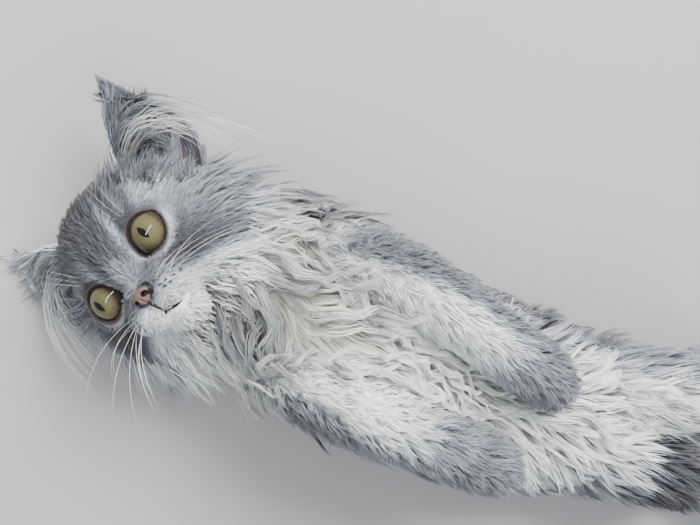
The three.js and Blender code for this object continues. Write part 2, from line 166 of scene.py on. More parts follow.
def besideHead(points):
    start, reach = limits["beside"], limits["pastBeside"]
    past = np.maximum(points[..., 1] - start, 0)
    points[..., 1] = np.where(past > 0, start + reach * (1 - np.exp(-past / reach)), points[..., 1])
    return points


def overFloor(points):
    height, low, lowest = points[..., 2], limits["low"], limits["lowest"]
    room = low - lowest
    eased = lowest + room * np.exp((np.minimum(height, low) - low) / room)
    points[..., 2] = np.where(height < low, eased, height)
    return points


def treeOf(points):
    tree = KDTree(len(points))
    for i, point in enumerate(points):
        tree.insert(point, i)
    tree.balance()
    return tree


def mark(piece, name, values):  # four numbers a point, for the materials to read
    attribute = piece.data.attributes.new(name, "FLOAT_COLOR", "POINT")
    attribute.data.foreach_set("color", values.astype(np.float32).ravel())


# The bodies, with the part's own numbers: x, y, z, half width, half height out to the coat's tips
trunk = {
    "blunt": 0.3, "coat": 16,
    "stations": [
        (-160, 12, 44, 46, 38), (-130, 12, 44, 58, 44), (-98, 7, 44, 58, 47), (-65, 1, 44, 57, 48),
        (-30, -6, 44, 56, 46), (5, -12, 43, 57, 45), (40, -13, 43, 57, 44), (75, -13, 42, 56, 43),
        (108, -12, 40, 53, 42), (140, -9, 39, 48, 40), (168, -6, 36, 30, 32),
    ],
}
forelegLeft = {
    "blunt": 0.5, "coat": 7,
    "stations": [
        (-100, 36, 52, 22, 24), (-74, 36, 68, 22, 22), (-50, 31, 83, 20, 19), (-15, 21, 91, 17.5, 17),
        (15, 12, 92, 18.5, 17), (37, 5, 86, 19, 18), (52, 1, 75, 13, 13),
    ],
}
forelegRight = {
    "blunt": 0.5, "coat": 7,
    "stations": [
        (-104, -28, 52, 22, 24), (-82, -29, 67, 22, 22), (-60, -31, 80, 20, 19), (-25, -35, 88, 17.5, 17),
        (3, -39, 88, 18.5, 17), (23, -42, 83, 19, 18), (38, -44, 72, 13, 13),
    ],
}
hindlegLeft = {
    "blunt": 0.5, "coat": 9,
    "stations": [
        (96, 6, 42, 34, 34), (130, 15, 54, 31, 30), (163, 21, 64, 26, 25), (195, 29, 48, 21, 20),
        (226, 38, 18, 17, 18), (256, 42, 19, 16, 15), (284, 44, 30, 19, 17), (304, 45, 40, 13, 12),
    ],
}
hindlegRight = {
    "blunt": 0.5, "coat": 9,
    "stations": [
        (96, -30, 42, 34, 34), (130, -29, 54, 31, 30), (163, -29, 64, 26, 25), (195, -36, 48, 21, 20),
        (226, -46, 18, 17, 18), (256, -50, 19, 16, 15), (284, -52, 30, 19, 17), (304, -53, 40, 13, 12),
    ],
}
tail = {
    "blunt": 0.4, "coat": 20,
    "stations": [
        (126, -8, 20, 14, 14), (160, -5, 21, 18, 18), (195, -4, 23, 24, 24), (235, -4, 25, 28, 27),
        (280, -2, 25, 28, 27), (325, 6, 23, 25, 24), (362, 15, 19, 14, 14),
    ],
}
bodies = [trunk, forelegLeft, forelegRight, hindlegLeft, hindlegRight, tail]
trunkPart, forelegLeftPart, forelegRightPart, hindlegLeftPart, hindlegRightPart, tailPart, headPart = range(7)


def stationAt(body, shares):
    return lineAt(body["stations"], shares)


def axesAt(body, shares):
    near = 0.004
    along = unit(stationAt(body, shares + near)[..., :3] - stationAt(body, shares - near)[..., :3])
    side = unit(np.cross(np.array([0.0, 0.0, 1.0]), along))
    return along, side, np.cross(along, side)


def pressed(sine):  # the weight on it presses the coat flat underneath
    return np.clip(1 + 1.3 * sine, 0, 1)


def onBody(body, shares, angles, lower):  # lowered by a share of the coat from its tips
    held = np.clip(shares, 0.001, 0.999)
    station = stationAt(body, held)
    along, side, lift = axesAt(body, held)
    depth = (lower * body["coat"] * pressed(np.sin(angles)))[..., None]
    swell = (np.maximum(1e-6, 1 - (1 - 2 * shares) ** 2) ** (body["blunt"] / 2))[..., None]
    pole = (1 - 2 * held)[..., None]
    cosine, sine = np.cos(angles)[..., None], np.sin(angles)[..., None]
    return (station[..., :3] + along * pole * lower * body["coat"]
            + side * cosine * swell * (station[..., 3:4] - depth)
            + lift * sine * swell * (station[..., 4:5] - depth))


# Where points lie on a body: their share along it, their angle round it, how far out they are, with 1 on
# its skin, and its direction there
def placeOn(body, points):
    shares = np.linspace(0, 1, 121)
    atOnce = 8000  # points looked up together
    line = stationAt(body, shares)
    along, side, lift = axesAt(body, shares)
    nearest = np.empty(len(points), int)
    for start in range(0, len(points), atOnce):
        some = points[start:start + atOnce]
        nearest[start:start + atOnce] = ((some[:, None] - line[None, :, :3]) ** 2).sum(2).argmin(1)
    offset = points - line[nearest, :3]
    across, up = (offset * side[nearest]).sum(1), (offset * lift[nearest]).sum(1)
    angle = np.arctan2(up, across)
    depth = body["coat"] * pressed(np.sin(angle))
    share = shares[nearest]
    swell = np.maximum(1e-3, 1 - (1 - 2 * share) ** 2) ** (body["blunt"] / 2)
    wide = np.maximum((line[nearest, 3] - depth) * swell, 2)
    high = np.maximum((line[nearest, 4] - depth) * swell, 2)
    ahead = (offset * along[nearest]).sum(1)
    away = np.sqrt((across / wide) ** 2 + (up / high) ** 2 + (ahead / wide) ** 2)
    return share, angle, away, along[nearest]


# The head's own frame: x to the cat's left, y to the crown, z to the nose, from between the eyes
facing = unit(np.array([-0.477, -0.273, 0.835]))
crown = unit(np.array([-0.863, 0.324, -0.387]))
crown = unit(crown - facing * crown.dot(facing))
leftward = np.cross(crown, facing)
headAxes = np.stack([leftward, crown, facing])
headPlace = np.array([-175.0, 2.0, 63.5])


def toWorld(points):
    return points @ headAxes + headPlace


def toHead(points):
    return (points - headPlace) @ headAxes.T


def mirrored(points):  # both sides of the head as its left one
    return np.stack([np.abs(points[:, 0]), points[:, 1], points[:, 2]], 1)


# The skull is a few eggs that flow together: x, y, z and three half sizes each. Its ball has more points
# at the face, whose pole is tilted up.
skullForm = {
    "flow": 2.2, "tilt": 0.35, "gather": 1.4, "middle": np.array([0.0, -6.0, -27.0]), "outermost": 75,
    "eggs": np.array([
        (0, 7, -31, 37, 34, 36), (0, 17, -15, 23, 17, 15),
        (20, -10, -24, 24, 24, 25), (-20, -10, -24, 24, 24, 25),
        (0, -15, -4, 17, 13, 13), (8.5, -20.5, 2.5, 9, 7.5, 8.5), (-8.5, -20.5, 2.5, 9, 7.5, 8.5),
        (0, -31, -4, 9, 6.5, 9), (0, -4, -2, 6.5, 12, 8),
    ], float),
}


def outsideSkull(points):  # how far points of the head's frame are outside it
    eggs = skullForm["eggs"]
    away = np.linalg.norm((points[:, None] - eggs[None, :, :3]) / eggs[None, :, 3:], axis=2)
    return -skullForm["flow"] * np.log(np.exp(-(away - 1) * eggs[:, 3:].min(1) / skullForm["flow"]).sum(1))


def skullPoint(directions):  # steps in from outside, then halves the last step
    middle = skullForm["middle"]
    far = np.full(len(directions), float(skullForm["outermost"]))
    for _ in range(skullForm["outermost"]):
        out = outsideSkull(middle + directions * far[:, None]) > 0
        far[out] -= 1
    near, far = far, far + 1
    for _ in range(10):
        half = (near + far) / 2
        out = outsideSkull(middle + directions * half[:, None]) > 0
        far = np.where(out, half, far)
        near = np.where(out, near, half)
    return middle + directions * near[:, None]


def onSkull(points):
    return skullPoint(unit(np.array(points, float) - skullForm["middle"]))


# Eyes: where they sit, and the almond opening between their lids
eyeForm = {
    "spacing": 36.6, "radius": 10.4, "forward": 3.4, "opening": 8.4, "lid": 1.3, "looking": (0.14, 0.02),
    "inner": (205, 0.34, 0.2), "outer": (20, 0.5, 0.07), "flatter": 0.04,  # corners: degrees, width, amount
}


def eyeFrame(side):
    centre = np.array([side * eyeForm["spacing"] / 2, 0, eyeForm["forward"] - eyeForm["radius"]])
    aside, raised = eyeForm["looking"]
    axis = unit(np.array([side * aside, raised, 1.0]))
    right = unit(np.cross(np.array([0.0, 1.0, 0.0]), axis))
    return centre, right * side, np.cross(axis, right), axis  # outward, upward and forward


def cornerHump(angles, degrees, width):
    return hump((angles - math.radians(degrees) + math.pi) % (2 * math.pi) - math.pi, 0, width)


def lidRadius(angles):  # 0 is the outer corner, 90 degrees the top and 180 the inner corner
    inner, outer = (amount * cornerHump(angles, degrees, width)
                    for degrees, width, amount in (eyeForm["inner"], eyeForm["outer"]))
    return eyeForm["opening"] * (1 + inner + outer - eyeForm["flatter"] * np.sin(angles) ** 2)


def onEye(points, side):  # distance from the eye's axis, angle round it and height along it
    centre, outward, upward, axis = eyeFrame(side)
    offset = points - centre
    flat = np.stack([offset @ outward, offset @ upward], 1)
    return np.linalg.norm(flat, axis=1), np.arctan2(flat[:, 1], flat[:, 0]), offset @ axis


# The mouth: down from the nose, then out to both sides
mouthLines = [
    np.array([(0, -18.5, 12), (0, -22, 11), (0, -26, 8)], float),
    np.array([(0, -26, 8), (5, -28.2, 6), (11, -29, 3), (18, -28.6, -4)], float),
    np.array([(0, -26, 8), (-5, -28.2, 6), (-11, -29, 3), (-18, -28.6, -4)], float),
]


mouthForm = {
    "shares": (1.0, 0.6, 0.6), "groove": 2.2, "grooveWidth": 1.25, "lip": 0.5, "lipAt": 2.8, "lipWidth": 1.3,
}
mouthPoints = np.vstack([
    onSkull(lineAt(line, np.linspace(0, shares, 24))) for line, shares in zip(mouthLines, mouthForm["shares"])])


def fromMouth(points):
    return np.sqrt(((points[:, None] - mouthPoints[None]) ** 2).sum(2).min(1))


# The skin: every flesh form in one piece, the coat's depth inside its tips
skinForm = {
    "segments": 40, "rings": 56, "voxel": 2.6, "soften": 6, "faceSegments": 220, "faceRings": 190,
    "lowest": 0.4,
}


def bodySkin():
    shells = []
    for number, body in enumerate(bodies):
        piece = ball("flesh" + str(number), skinForm["segments"], skinForm["rings"])
        start = pointsOf(piece.data)
        shares = (1 - np.clip(start[:, 2], -1, 1)) / 2
        angles = np.arctan2(start[:, 1], start[:, 0])
        poles = np.sqrt(np.maximum(0, 1 - start[:, 2] ** 2)) <= 1e-4
        shares[poles] = np.round(shares[poles])
        placed = onBody(body, shares, angles, 1.0)
        inwards = axesAt(body, shares[poles])[0] * (1 - 2 * shares[poles])[:, None] * body["coat"]
        placed[poles] = stationAt(body, shares[poles])[:, :3] + inwards
        setPoints(piece.data, placed * metres)
        shells.append(piece)
    piece = joined("bodySkin", shells)
    remesh = piece.modifiers.new("remesh", "REMESH")
    remesh.mode = "VOXEL"
    remesh.voxel_size = skinForm["voxel"] * metres
    remesh.use_smooth_shade = True
    soften = piece.modifiers.new("soften", "SMOOTH")
    soften.factor = 0.5
    soften.iterations = skinForm["soften"]
    applyModifiers(piece)
    return piece


def faceDepth(points):  # how far the skin lies inside the coat's tips, least on the face
    back = smooth(-8, -34, points[:, 2])
    low = smooth(-30, -44, points[:, 1])
    return 1.8 + 4.5 * back + 2.5 * low * (1 - back)


def raiseLids(points):  # lids round the openings, and a hollow for each eyeball
    radius, reach = eyeForm["radius"], 6.5
    for side in (1, -1):
        away, angle, height = onEye(points, side)
        opening = lidRadius(angle)
        edge = away - opening
        globe = np.sqrt(np.maximum(0, radius ** 2 - np.minimum(away, radius - 0.2) ** 2))
        lidTop = np.sqrt(radius ** 2 - np.minimum(opening, radius - 0.3) ** 2) + eyeForm["lid"]
        beside = np.where(edge > 0, smooth(reach, 0, edge), 1.0)
        shaped = height * (1 - beside) + lidTop * beside
        hollow = globe - 2.2 * smooth(0, -1.2, edge) + 0.4
        shaped = np.where(edge < 0, np.minimum(lidTop, hollow), shaped)
        moved = np.where((height > 0) & (edge < reach), shaped - height, 0)
        points = points + eyeFrame(side)[3] * moved[:, None]
    return points


def headSkin():
    piece = ball("headSkin", skinForm["faceSegments"], skinForm["faceRings"])
    start = pointsOf(piece.data)
    polar = math.pi * (np.arccos(np.clip(start[:, 2], -1, 1)) / math.pi) ** skullForm["gather"]
    around = np.arctan2(start[:, 1], start[:, 0])
    ring = np.sin(polar)
    ring[np.abs(start[:, 2]) > 0.99999] = 0
    cosine, sine = math.cos(skullForm["tilt"]), math.sin(skullForm["tilt"])
    x, y, z = ring * np.cos(around), ring * np.sin(around), np.cos(polar)
    direction = np.stack([x, y * cosine - z * sine, y * sine + z * cosine], 1)
    points = skullPoint(direction)
    points -= direction * faceDepth(points)[:, None]
    mouth = fromMouth(points)
    groove = mouthForm["groove"] * hump(mouth, 0, mouthForm["grooveWidth"])
    points -= direction * groove[:, None]
    lips = hump(mouth, mouthForm["lipAt"], mouthForm["lipWidth"]) * smooth(-25, -28, points[:, 1])
    points += direction * (mouthForm["lip"] * lips)[:, None]
    points = raiseLids(points)
    nose = np.linalg.norm((points - np.array([0, -15, 9.5])) / np.array([5.8, 4.5, 5.5]), axis=1)
    points -= direction * (2.2 * smooth(1.15, 0.8, nose))[:, None]  # a seat for the nose leather
    setPoints(piece.data, toWorld(points) * metres)
    return piece


head = headSkin()
flesh = bodySkin()
headCount = len(head.data.vertices)
skin = joined("skin", [head, flesh])
skinPoints = pointsOf(skin.data) / metres
skinPoints[:, 2] = np.maximum(skinPoints[:, 2], skinForm["lowest"])
setPoints(skin.data, skinPoints * metres)
isHead = np.arange(len(skinPoints)) < headCount
normals = np.empty(len(skinPoints) * 3, np.float32)
skin.data.vertices.foreach_get("normal", normals)
normals = normals.reshape(-1, 3).astype(float)
print("stage: skin", len(skinPoints))

# What the coat is like at each point of the skin
headPoints = toHead(skinPoints)
places = [placeOn(body, skinPoints) for body in bodies]
part = np.stack([place[2] for place in places]).argmin(0)
part[isHead] = headPart
chosen = np.where(isHead, 0, part)
everyOne = np.arange(len(skinPoints))
share, angle, lie = (np.stack([place[i] for place in places])[chosen, everyOne] for i in (0, 1, 3))
isTrunk = part == trunkPart
isForeleg = (part == forelegLeftPart) | (part == forelegRightPart)
isHindleg = (part == hindlegLeftPart) | (part == hindlegRightPart)
isTail = part == tailPart

# Fur on the head runs back from the nose, and from the chin to the throat
noseTip = np.array([0.0, -12.0, 10.0])
fromNose = unit(headPoints - noseTip)
fromNose += np.array([0, -0.35, -0.35]) * smooth(15, 45, np.linalg.norm(headPoints - noseTip, axis=1))[:, None]
lie[isHead] = (unit(fromNose) @ headAxes)[isHead]
# The belly's fur parts along the middle and spreads to the flanks, and the chest's stands up a little
lie[isTrunk, 1] += 0.55 * np.cos(angle[isTrunk])
lie[isTrunk & (skinPoints[:, 0] < -60), 2] += 0.25

edges = np.empty(len(skin.data.edges) * 2, np.int32)
skin.data.edges.foreach_get("vertices", edges)
edges = edges.reshape(-1, 2)


def spreadOut(values, rounds):  # evens a field out over the skin
    values = values.astype(float).reshape(len(skinPoints), -1)
    degree = np.bincount(edges.ravel(), minlength=len(values))[:, None]
    for _ in range(rounds):
        total = np.stack([
            np.bincount(edges[:, 0], values[edges[:, 1], i], len(values))
            + np.bincount(edges[:, 1], values[edges[:, 0], i], len(values))
            for i in range(values.shape[1])
        ], 1)
        values = 0.4 * values + 0.6 * total / np.maximum(degree, 1)
    return values.squeeze()


lie = spreadOut(lie, 10)
lie = unit(lie - normals * (lie * normals).sum(1)[:, None])
up = np.sin(angle)
chest = isTrunk * smooth(25, -35, skinPoints[:, 0]) * smooth(-0.2, 0.4, up)
throat = isTrunk * smooth(-60, -110, skinPoints[:, 0])
# The wavy coat turns this way and that
wave = np.sin(skinPoints[:, 0] / 15 + 1.7 * np.sin(skinPoints[:, 1] / 19))
wave *= np.cos(skinPoints[:, 1] / 12 - 0.8 * np.sin(skinPoints[:, 0] / 17))
swirl = (wave * (0.2 * isTrunk + 0.45 * chest + 0.2 * throat))[:, None]
lie = lie * np.cos(swirl) + np.cross(normals, lie) * np.sin(swirl)

# Length, rise and width of the tufts in millimetres, and how much they gather into locks, each for head,
# trunk, forelegs, hindlegs and tail
regionCoat = {
    "length": [17, 33, 10.5, 26, 44],
    "rise": [6, 14, 6.3, 8.5, 18],
    "width": [0.6, 0.68, 0.52, 0.72, 0.9],
    "clump": [0.3, 0.8, 0.2, 0.5, 0.7],
}


def byRegion(name):
    return np.select([isHead, isTrunk, isForeleg, isHindleg, isTail], regionCoat[name]).astype(float)


face = isHead * smooth(-30, -12, headPoints[:, 2]) * smooth(-34, -24, headPoints[:, 1])
muzzle = isHead * blob(mirrored(headPoints), (9, -20, 6), (10, 8, 9))
chin = isHead * smooth(-28, -36, headPoints[:, 1])
paw = isForeleg * smooth(0.7, 0.95, share)
foot = isHindleg * smooth(0.62, 0.8, share)
tailEnd = isTail * smooth(0.66, 0.84, share)
fluff = isHead * smooth(12, 28, headPoints[:, 1])  # stands out round the forehead
cheeks = isHead * smooth(10, 26, np.abs(headPoints[:, 0])) * smooth(30, 12, headPoints[:, 1])
cheeks *= smooth(-4, -16, headPoints[:, 2])
mouthAway = np.full(len(skinPoints), 99.0)
mouthAway[isHead] = fromMouth(headPoints[isHead])

length = byRegion("length")
length += 4 * chest + 6 * throat - 11 * face + 15 * cheeks - 1.0 * muzzle + 7 * chin - 4 * paw - 12 * foot
length += 3 * fluff + 16 * tailEnd
length = np.where(isHead, np.minimum(length, 0.5 + 0.55 * mouthAway), length)
for side in (1, -1):
    away, eyeAngle, height = onEye(headPoints, side)
    lidAway = np.maximum(away - lidRadius(eyeAngle), 0)
    length = np.where(isHead & (height > 0), np.minimum(length, 0.4 + 0.6 * lidAway), length)
rise = np.where(isHead, 0.85 * faceDepth(headPoints) + 8 * cheeks + 2 * chin + 3.4 * fluff, byRegion("rise"))
rise *= np.where(isHead, 1, np.maximum(0.12, pressed(up)))
width = byRegion("width") - (0.15 * chest + 0.08 * throat) - 0.2 * face
curl = 1.0 * chest + 0.75 * throat * (1 - chest) + 0.2 * isTrunk + 0.3 * isTail
free = np.clip(0.85 * cheeks + 0.4 * chin + 0.3 * fluff + tailEnd, 0, 1)  # how far it leaves the skin's curve
clump = byRegion("clump") - 0.35 * isTrunk * smooth(0.2, -0.3, up) + 0.3 * cheeks
length, rise, width, curl, free, clump = (
    spreadOut(field, 6) for field in (length, rise, width, curl, free, clump))

# Markings, with some painted shade: how dark the silver is, how cream, and where the skin shows bare and dark;
# the tone also holds painted shade at the throat and on the right cheek. The face's marks are an amount, a
# middle in the head's frame and three half sizes each.
faceMarks = [
    (-0.36, (10.5, 6, 3), (3.2, 13, 12)),  # the light line up from the inner corner
    (-0.3, (29, 12, -8), (9, 10, 12)),  # the light brow
    (-0.21, (40, 4, -14), (9, 16, 14)),  # the side of the face
    (0.17, (24, -15, 0), (11, 6.5, 10)),  # the dark cheek patch
    (-0.2, (46, 15, -20), (10, 10, 12)),  # the pale foot of the ear
    (-0.34, (0, -4, 6), (5, 9, 8)),  # the bridge
    (0.4, (9.5, -6, 5), (1.7, 2.4, 5)),  # the tear mark
    (-0.14, (42, -18, -14), (11, 11, 16)),  # the jowl
    (0.06, (4, 24, -2), (12, 14, 12)),  # the crown
]


def headTone(points):
    x, y, z = np.abs(points[:, 0]), points[:, 1], points[:, 2]
    onePair = mirrored(points)
    tone = 0.545 + 0.08 * smooth(18, 34, y)
    stripes = np.sin(points[:, 0] * 0.95 + 0.05 * y * np.sign(points[:, 0]))
    tone += 0.09 * stripes * smooth(4, 14, y) * smooth(44, 28, y)
    for amount, middle, radii in faceMarks:
        tone += amount * blob(onePair, middle, radii)
    # painted shade: the right cheek, turned from the light, is darkened on its own
    tone += 0.16 * (points[:, 0] < 0) * blob(onePair, (30, -12, -4), (9, 14, 12))  # the right cheek
    tone *= 1 - 0.82 * smooth(-15.5, -21, y + 0.32 * np.maximum(x - 11, 0))  # the white muzzle and chin
    tone *= 1 - 0.72 * blob(onePair, (11, -19, 8), (7, 5.5, 9))
    tone += 0.13 * blob(onePair, (13, -22, 7), (8, 5, 8))  # a shade on the whisker pads
    tone += 0.06 * smooth(-20, -40, z)
    return np.clip(tone, 0.02, 1)


def trunkTone():
    x, y = skinPoints[:, 0], skinPoints[:, 1]
    flank = smooth(0.75, -0.1, up)
    onLeft = np.cos(angle) > 0
    tone = 0.03 + np.where(onLeft, 0.61 * smooth(-190, -125, x), 0.33 * smooth(-120, -40, x)) * flank
    tone += 0.04 * smooth(60, 95, x)
    ripple = np.sin(x / 11 + 1.9 * np.sin(y / 13)) * np.cos(y / 8 + x / 23)
    tone += 0.11 * (0.5 + 0.5 * ripple) ** 2 * smooth(-90, 0, x)
    # darker at the throat under the chin's ruff: partly darker hair, partly painted shade in the fold between
    # ruff and chest
    tone += 0.32 * smooth(-98, -118, x) * hump(y, -2, 24) * smooth(0.2, 0.8, up)
    return tone + 0.4 * flank * ~onLeft * smooth(20, 90, x)


def forelegTone(outwardSign, edge, outerAmount, reach):  # dark outside and at the paw, in patches
    edgeAt = edge - 0.5 * smooth(0.4, 0.22, share)
    outer = smooth(0, 0.5, np.cos(angle) * outwardSign - edgeAt) * smooth(0.04, 0.16, share)
    far = smooth(0.44, 0.68, share + reach)
    patches = 0.5 + 0.5 * np.sin(5 * angle + 26 * share) * np.sin(3 * angle - 31 * share)
    return 0.01 + 0.42 * np.maximum(outerAmount * outer, far * (0.65 + 0.5 * patches))


def hindlegTone(outwardSign, thigh):
    outer = smooth(0.2, 0.95, np.cos(angle) * outwardSign)
    dark = 0.06 + 0.3 * outer + 0.15 * smooth(0.7, 1, share)
    return dark + thigh * smooth(0.1, 0.2, share) * smooth(0.75, 0.55, share)


tones = {
    trunkPart: trunkTone(), headPart: headTone(headPoints),
    forelegLeftPart: forelegTone(1, 0.25, 1.0, 0), forelegRightPart: forelegTone(-1, 0.4, 0.85, 0.1),
    hindlegLeftPart: hindlegTone(1, 0), hindlegRightPart: hindlegTone(-1, 0.6),
    tailPart: 0.5 + 0.2 * smooth(0.75, 1, share) - 0.14 * up,
}
tone = np.select([part == number for number in tones], list(tones.values()))
cream = 0.28 * chest + 0.32 * throat + 0.16 * isTrunk * smooth(0.3, 0.9, up)
bare = isHead * smooth(1.5, 0.8, mouthAway)  # the lips and lids
closeTo = isHead * smooth(2.4, 1.9, mouthAway)  # where no tufts root
for side in (1, -1):
    away, eyeAngle, height = onEye(headPoints, side)
    edge = away - lidRadius(eyeAngle)
    inFront = isHead * (height > 0)
    closeTo = np.maximum(closeTo, inFront * smooth(2.7, 2.2, edge))
    bare = np.maximum(bare, inFront * smooth(1.6, 0.8, edge))
    paleLine = inFront * hump(edge, 2.6, 1.2) * (0.15 + 0.85 * smooth(0.6, -0.5, np.sin(eyeAngle)))
    darkLine = inFront * hump(edge, 1.9, 0.9) * smooth(-0.2, 0.5, np.sin(eyeAngle))
    tone = tone * (1 - 0.7 * paleLine) + 0.3 * darkLine
    cream = np.maximum(cream, 0.5 * paleLine)
tone = spreadOut(tone, 2)
cream = spreadOut(cream, 4)
print("stage: markings")

# The coat's own unwrap of the skin: a rectangle for each body and one for the head, each as its left and
# low edge, its width and its height
charts = {
    trunkPart: (0.02, 0.02, 0.46, 0.46), forelegLeftPart: (0.52, 0.02, 0.20, 0.22),
    forelegRightPart: (0.76, 0.02, 0.20, 0.22), hindlegLeftPart: (0.52, 0.28, 0.20, 0.22),
    hindlegRightPart: (0.76, 0.28, 0.20, 0.22), tailPart: (0.52, 0.54, 0.44, 0.20),
    headPart: (0.02, 0.54, 0.46, 0.42),
}


def onChart(number, along, turn):
    left, low, wide, high = charts[number]
    return np.stack([left + wide * along, low + high * (turn / (2 * math.pi) + 0.5)], 1)


def onHeadChart(points):
    ray = unit(points - skullForm["middle"])
    return onChart(headPart, np.arccos(np.clip(ray[:, 2], -1, 1)) / math.pi, np.arctan2(ray[:, 1], ray[:, 0]))


skinPlace = onHeadChart(headPoints)
for number in range(headPart):
    rows = part == number
    skinPlace[rows] = onChart(number, share[rows], angle[rows])

# Growing the coat
skin.data.calc_loop_triangles()
corners = np.empty(len(skin.data.loop_triangles) * 3, np.int32)
skin.data.loop_triangles.foreach_get("vertices", corners)
corners = corners.reshape(-1, 3)
triangleAreas = np.linalg.norm(np.cross(
    skinPoints[corners[:, 1]] - skinPoints[corners[:, 0]],
    skinPoints[corners[:, 2]] - skinPoints[corners[:, 0]]), axis=1) / 2
middles = skinPoints[corners].mean(1)
buried = np.zeros(len(corners), bool)  # parts of one form inside another, or pressed on the floor
headTriangle = isHead[corners[:, 0]]
inTrunk = placeOn(trunk, middles[headTriangle])[2] < 0.86
buried[np.where(headTriangle)[0][inTrunk]] = True
bodyTriangles = np.where(~headTriangle)[0]
buried[bodyTriangles[outsideSkull(toHead(middles[bodyTriangles])) < -9]] = True
buried |= (middles[:, 2] < 1.5) & (normals[corners[:, 0], 2] < -0.8)

skinTree = treeOf(skinPoints)


def nearestSkin(points):
    return np.array([skinTree.find(point)[1] for point in points], int)


def sampleRoots(weights, count):
    weights = weights * triangleAreas * ~buried
    picked = draw.choice(len(corners), count, p=weights / weights.sum())
    a, b = draw.random(count), draw.random(count)
    flip = a + b > 1
    a[flip], b[flip] = 1 - a[flip], 1 - b[flip]
    mix = np.stack([1 - a - b, a, b], 1)
    return picked, mix


def blendField(field, picked, mix):
    values = field[corners[picked]]
    return (values * mix.reshape(mix.shape + (1,) * (values.ndim - 2))).sum(1)


# Guide hairs follow the lie over the skin and rise to the coat's tips; free ones go straight on instead
def layGuides(roots, lengths, rises, curls, frees, steps, wander):
    count = len(roots)
    path, outs, lies = (np.empty((count, steps + 1, 3)) for _ in range(3))
    aside = np.clip(draw.normal(0, wander, count), -1.5 * wander, 1.5 * wander)
    place = roots.copy()
    run = np.sqrt(np.maximum(lengths ** 2 - rises ** 2, 4))
    for step in range(steps + 1):
        t = step / steps
        index = nearestSkin(place)
        normal = normals[index]
        direction = lie[index]
        across = np.cross(normal, direction)
        direction = unit(direction + across * aside[:, None])
        if step == 0:
            firstNormal, firstDirection = normal, direction
        height = rises * np.sin(math.pi / 2 * min(1, 1.15 * t)) - 1.0 * (t == 0)
        onSkin = place - normal * ((place - skinPoints[index]) * normal).sum(1)[:, None]
        straight = roots + firstDirection * (run * t)[:, None] + firstNormal * height[:, None]
        here = (onSkin + normal * height[:, None]) * (1 - frees)[:, None] + straight * frees[:, None]
        path[:, step], outs[:, step], lies[:, step] = here, normal, direction
        place = onSkin + direction * (run / steps)[:, None]
    across = np.cross(outs, lies)
    times = np.linspace(0, 1, steps + 1)
    turns = 0.7 + 1.4 * curls * draw.uniform(0.7, 1.3, count)
    waves = turns[:, None] * 2 * math.pi * times + draw.uniform(0, 6.28, count)[:, None]
    reach = (curls * draw.uniform(1.5, 3.6, count))[:, None] * times ** 0.8
    path += across * (np.sin(waves) * reach)[..., None] + outs * (0.45 * np.cos(waves) * reach)[..., None]
    return path, outs


def alongPath(path, times):  # points at times (count, k) of paths (count, steps + 1, 3)
    steps = path.shape[1] - 1
    place = np.clip(times, 0, 1) * steps
    index = np.minimum(place.astype(int), steps - 1)
    between = (place - index)[..., None]
    rows = np.arange(len(path))[:, None]
    return path[rows, index] * (1 - between) + path[rows, index + 1] * between


def tuftFaces(count, rings):  # quads and triangles of closed three-sided tufts with a tip each
    quads = [(ring * 3 + a, ring * 3 + b, ring * 3 + 3 + b, ring * 3 + 3 + a)
             for ring in range(rings - 1) for a, b in ((0, 1), (1, 2), (2, 0))]
    last = (rings - 1) * 3
    tip = last + 3
    triangles = [(0, 2, 1), (last, last + 1, tip), (last + 1, last + 2, tip), (last + 2, last, tip)]
    starts = (np.arange(count) * (rings * 3 + 1))[:, None, None]
    return ((np.array(quads).reshape(-1, 4)[None] + starts).reshape(-1, 4),
            (np.array(triangles)[None] + starts).reshape(-1, 3))


tuftForm = {"flatness": 0.45, "back": 1.6, "patch": (0.0028, 0.0022)}


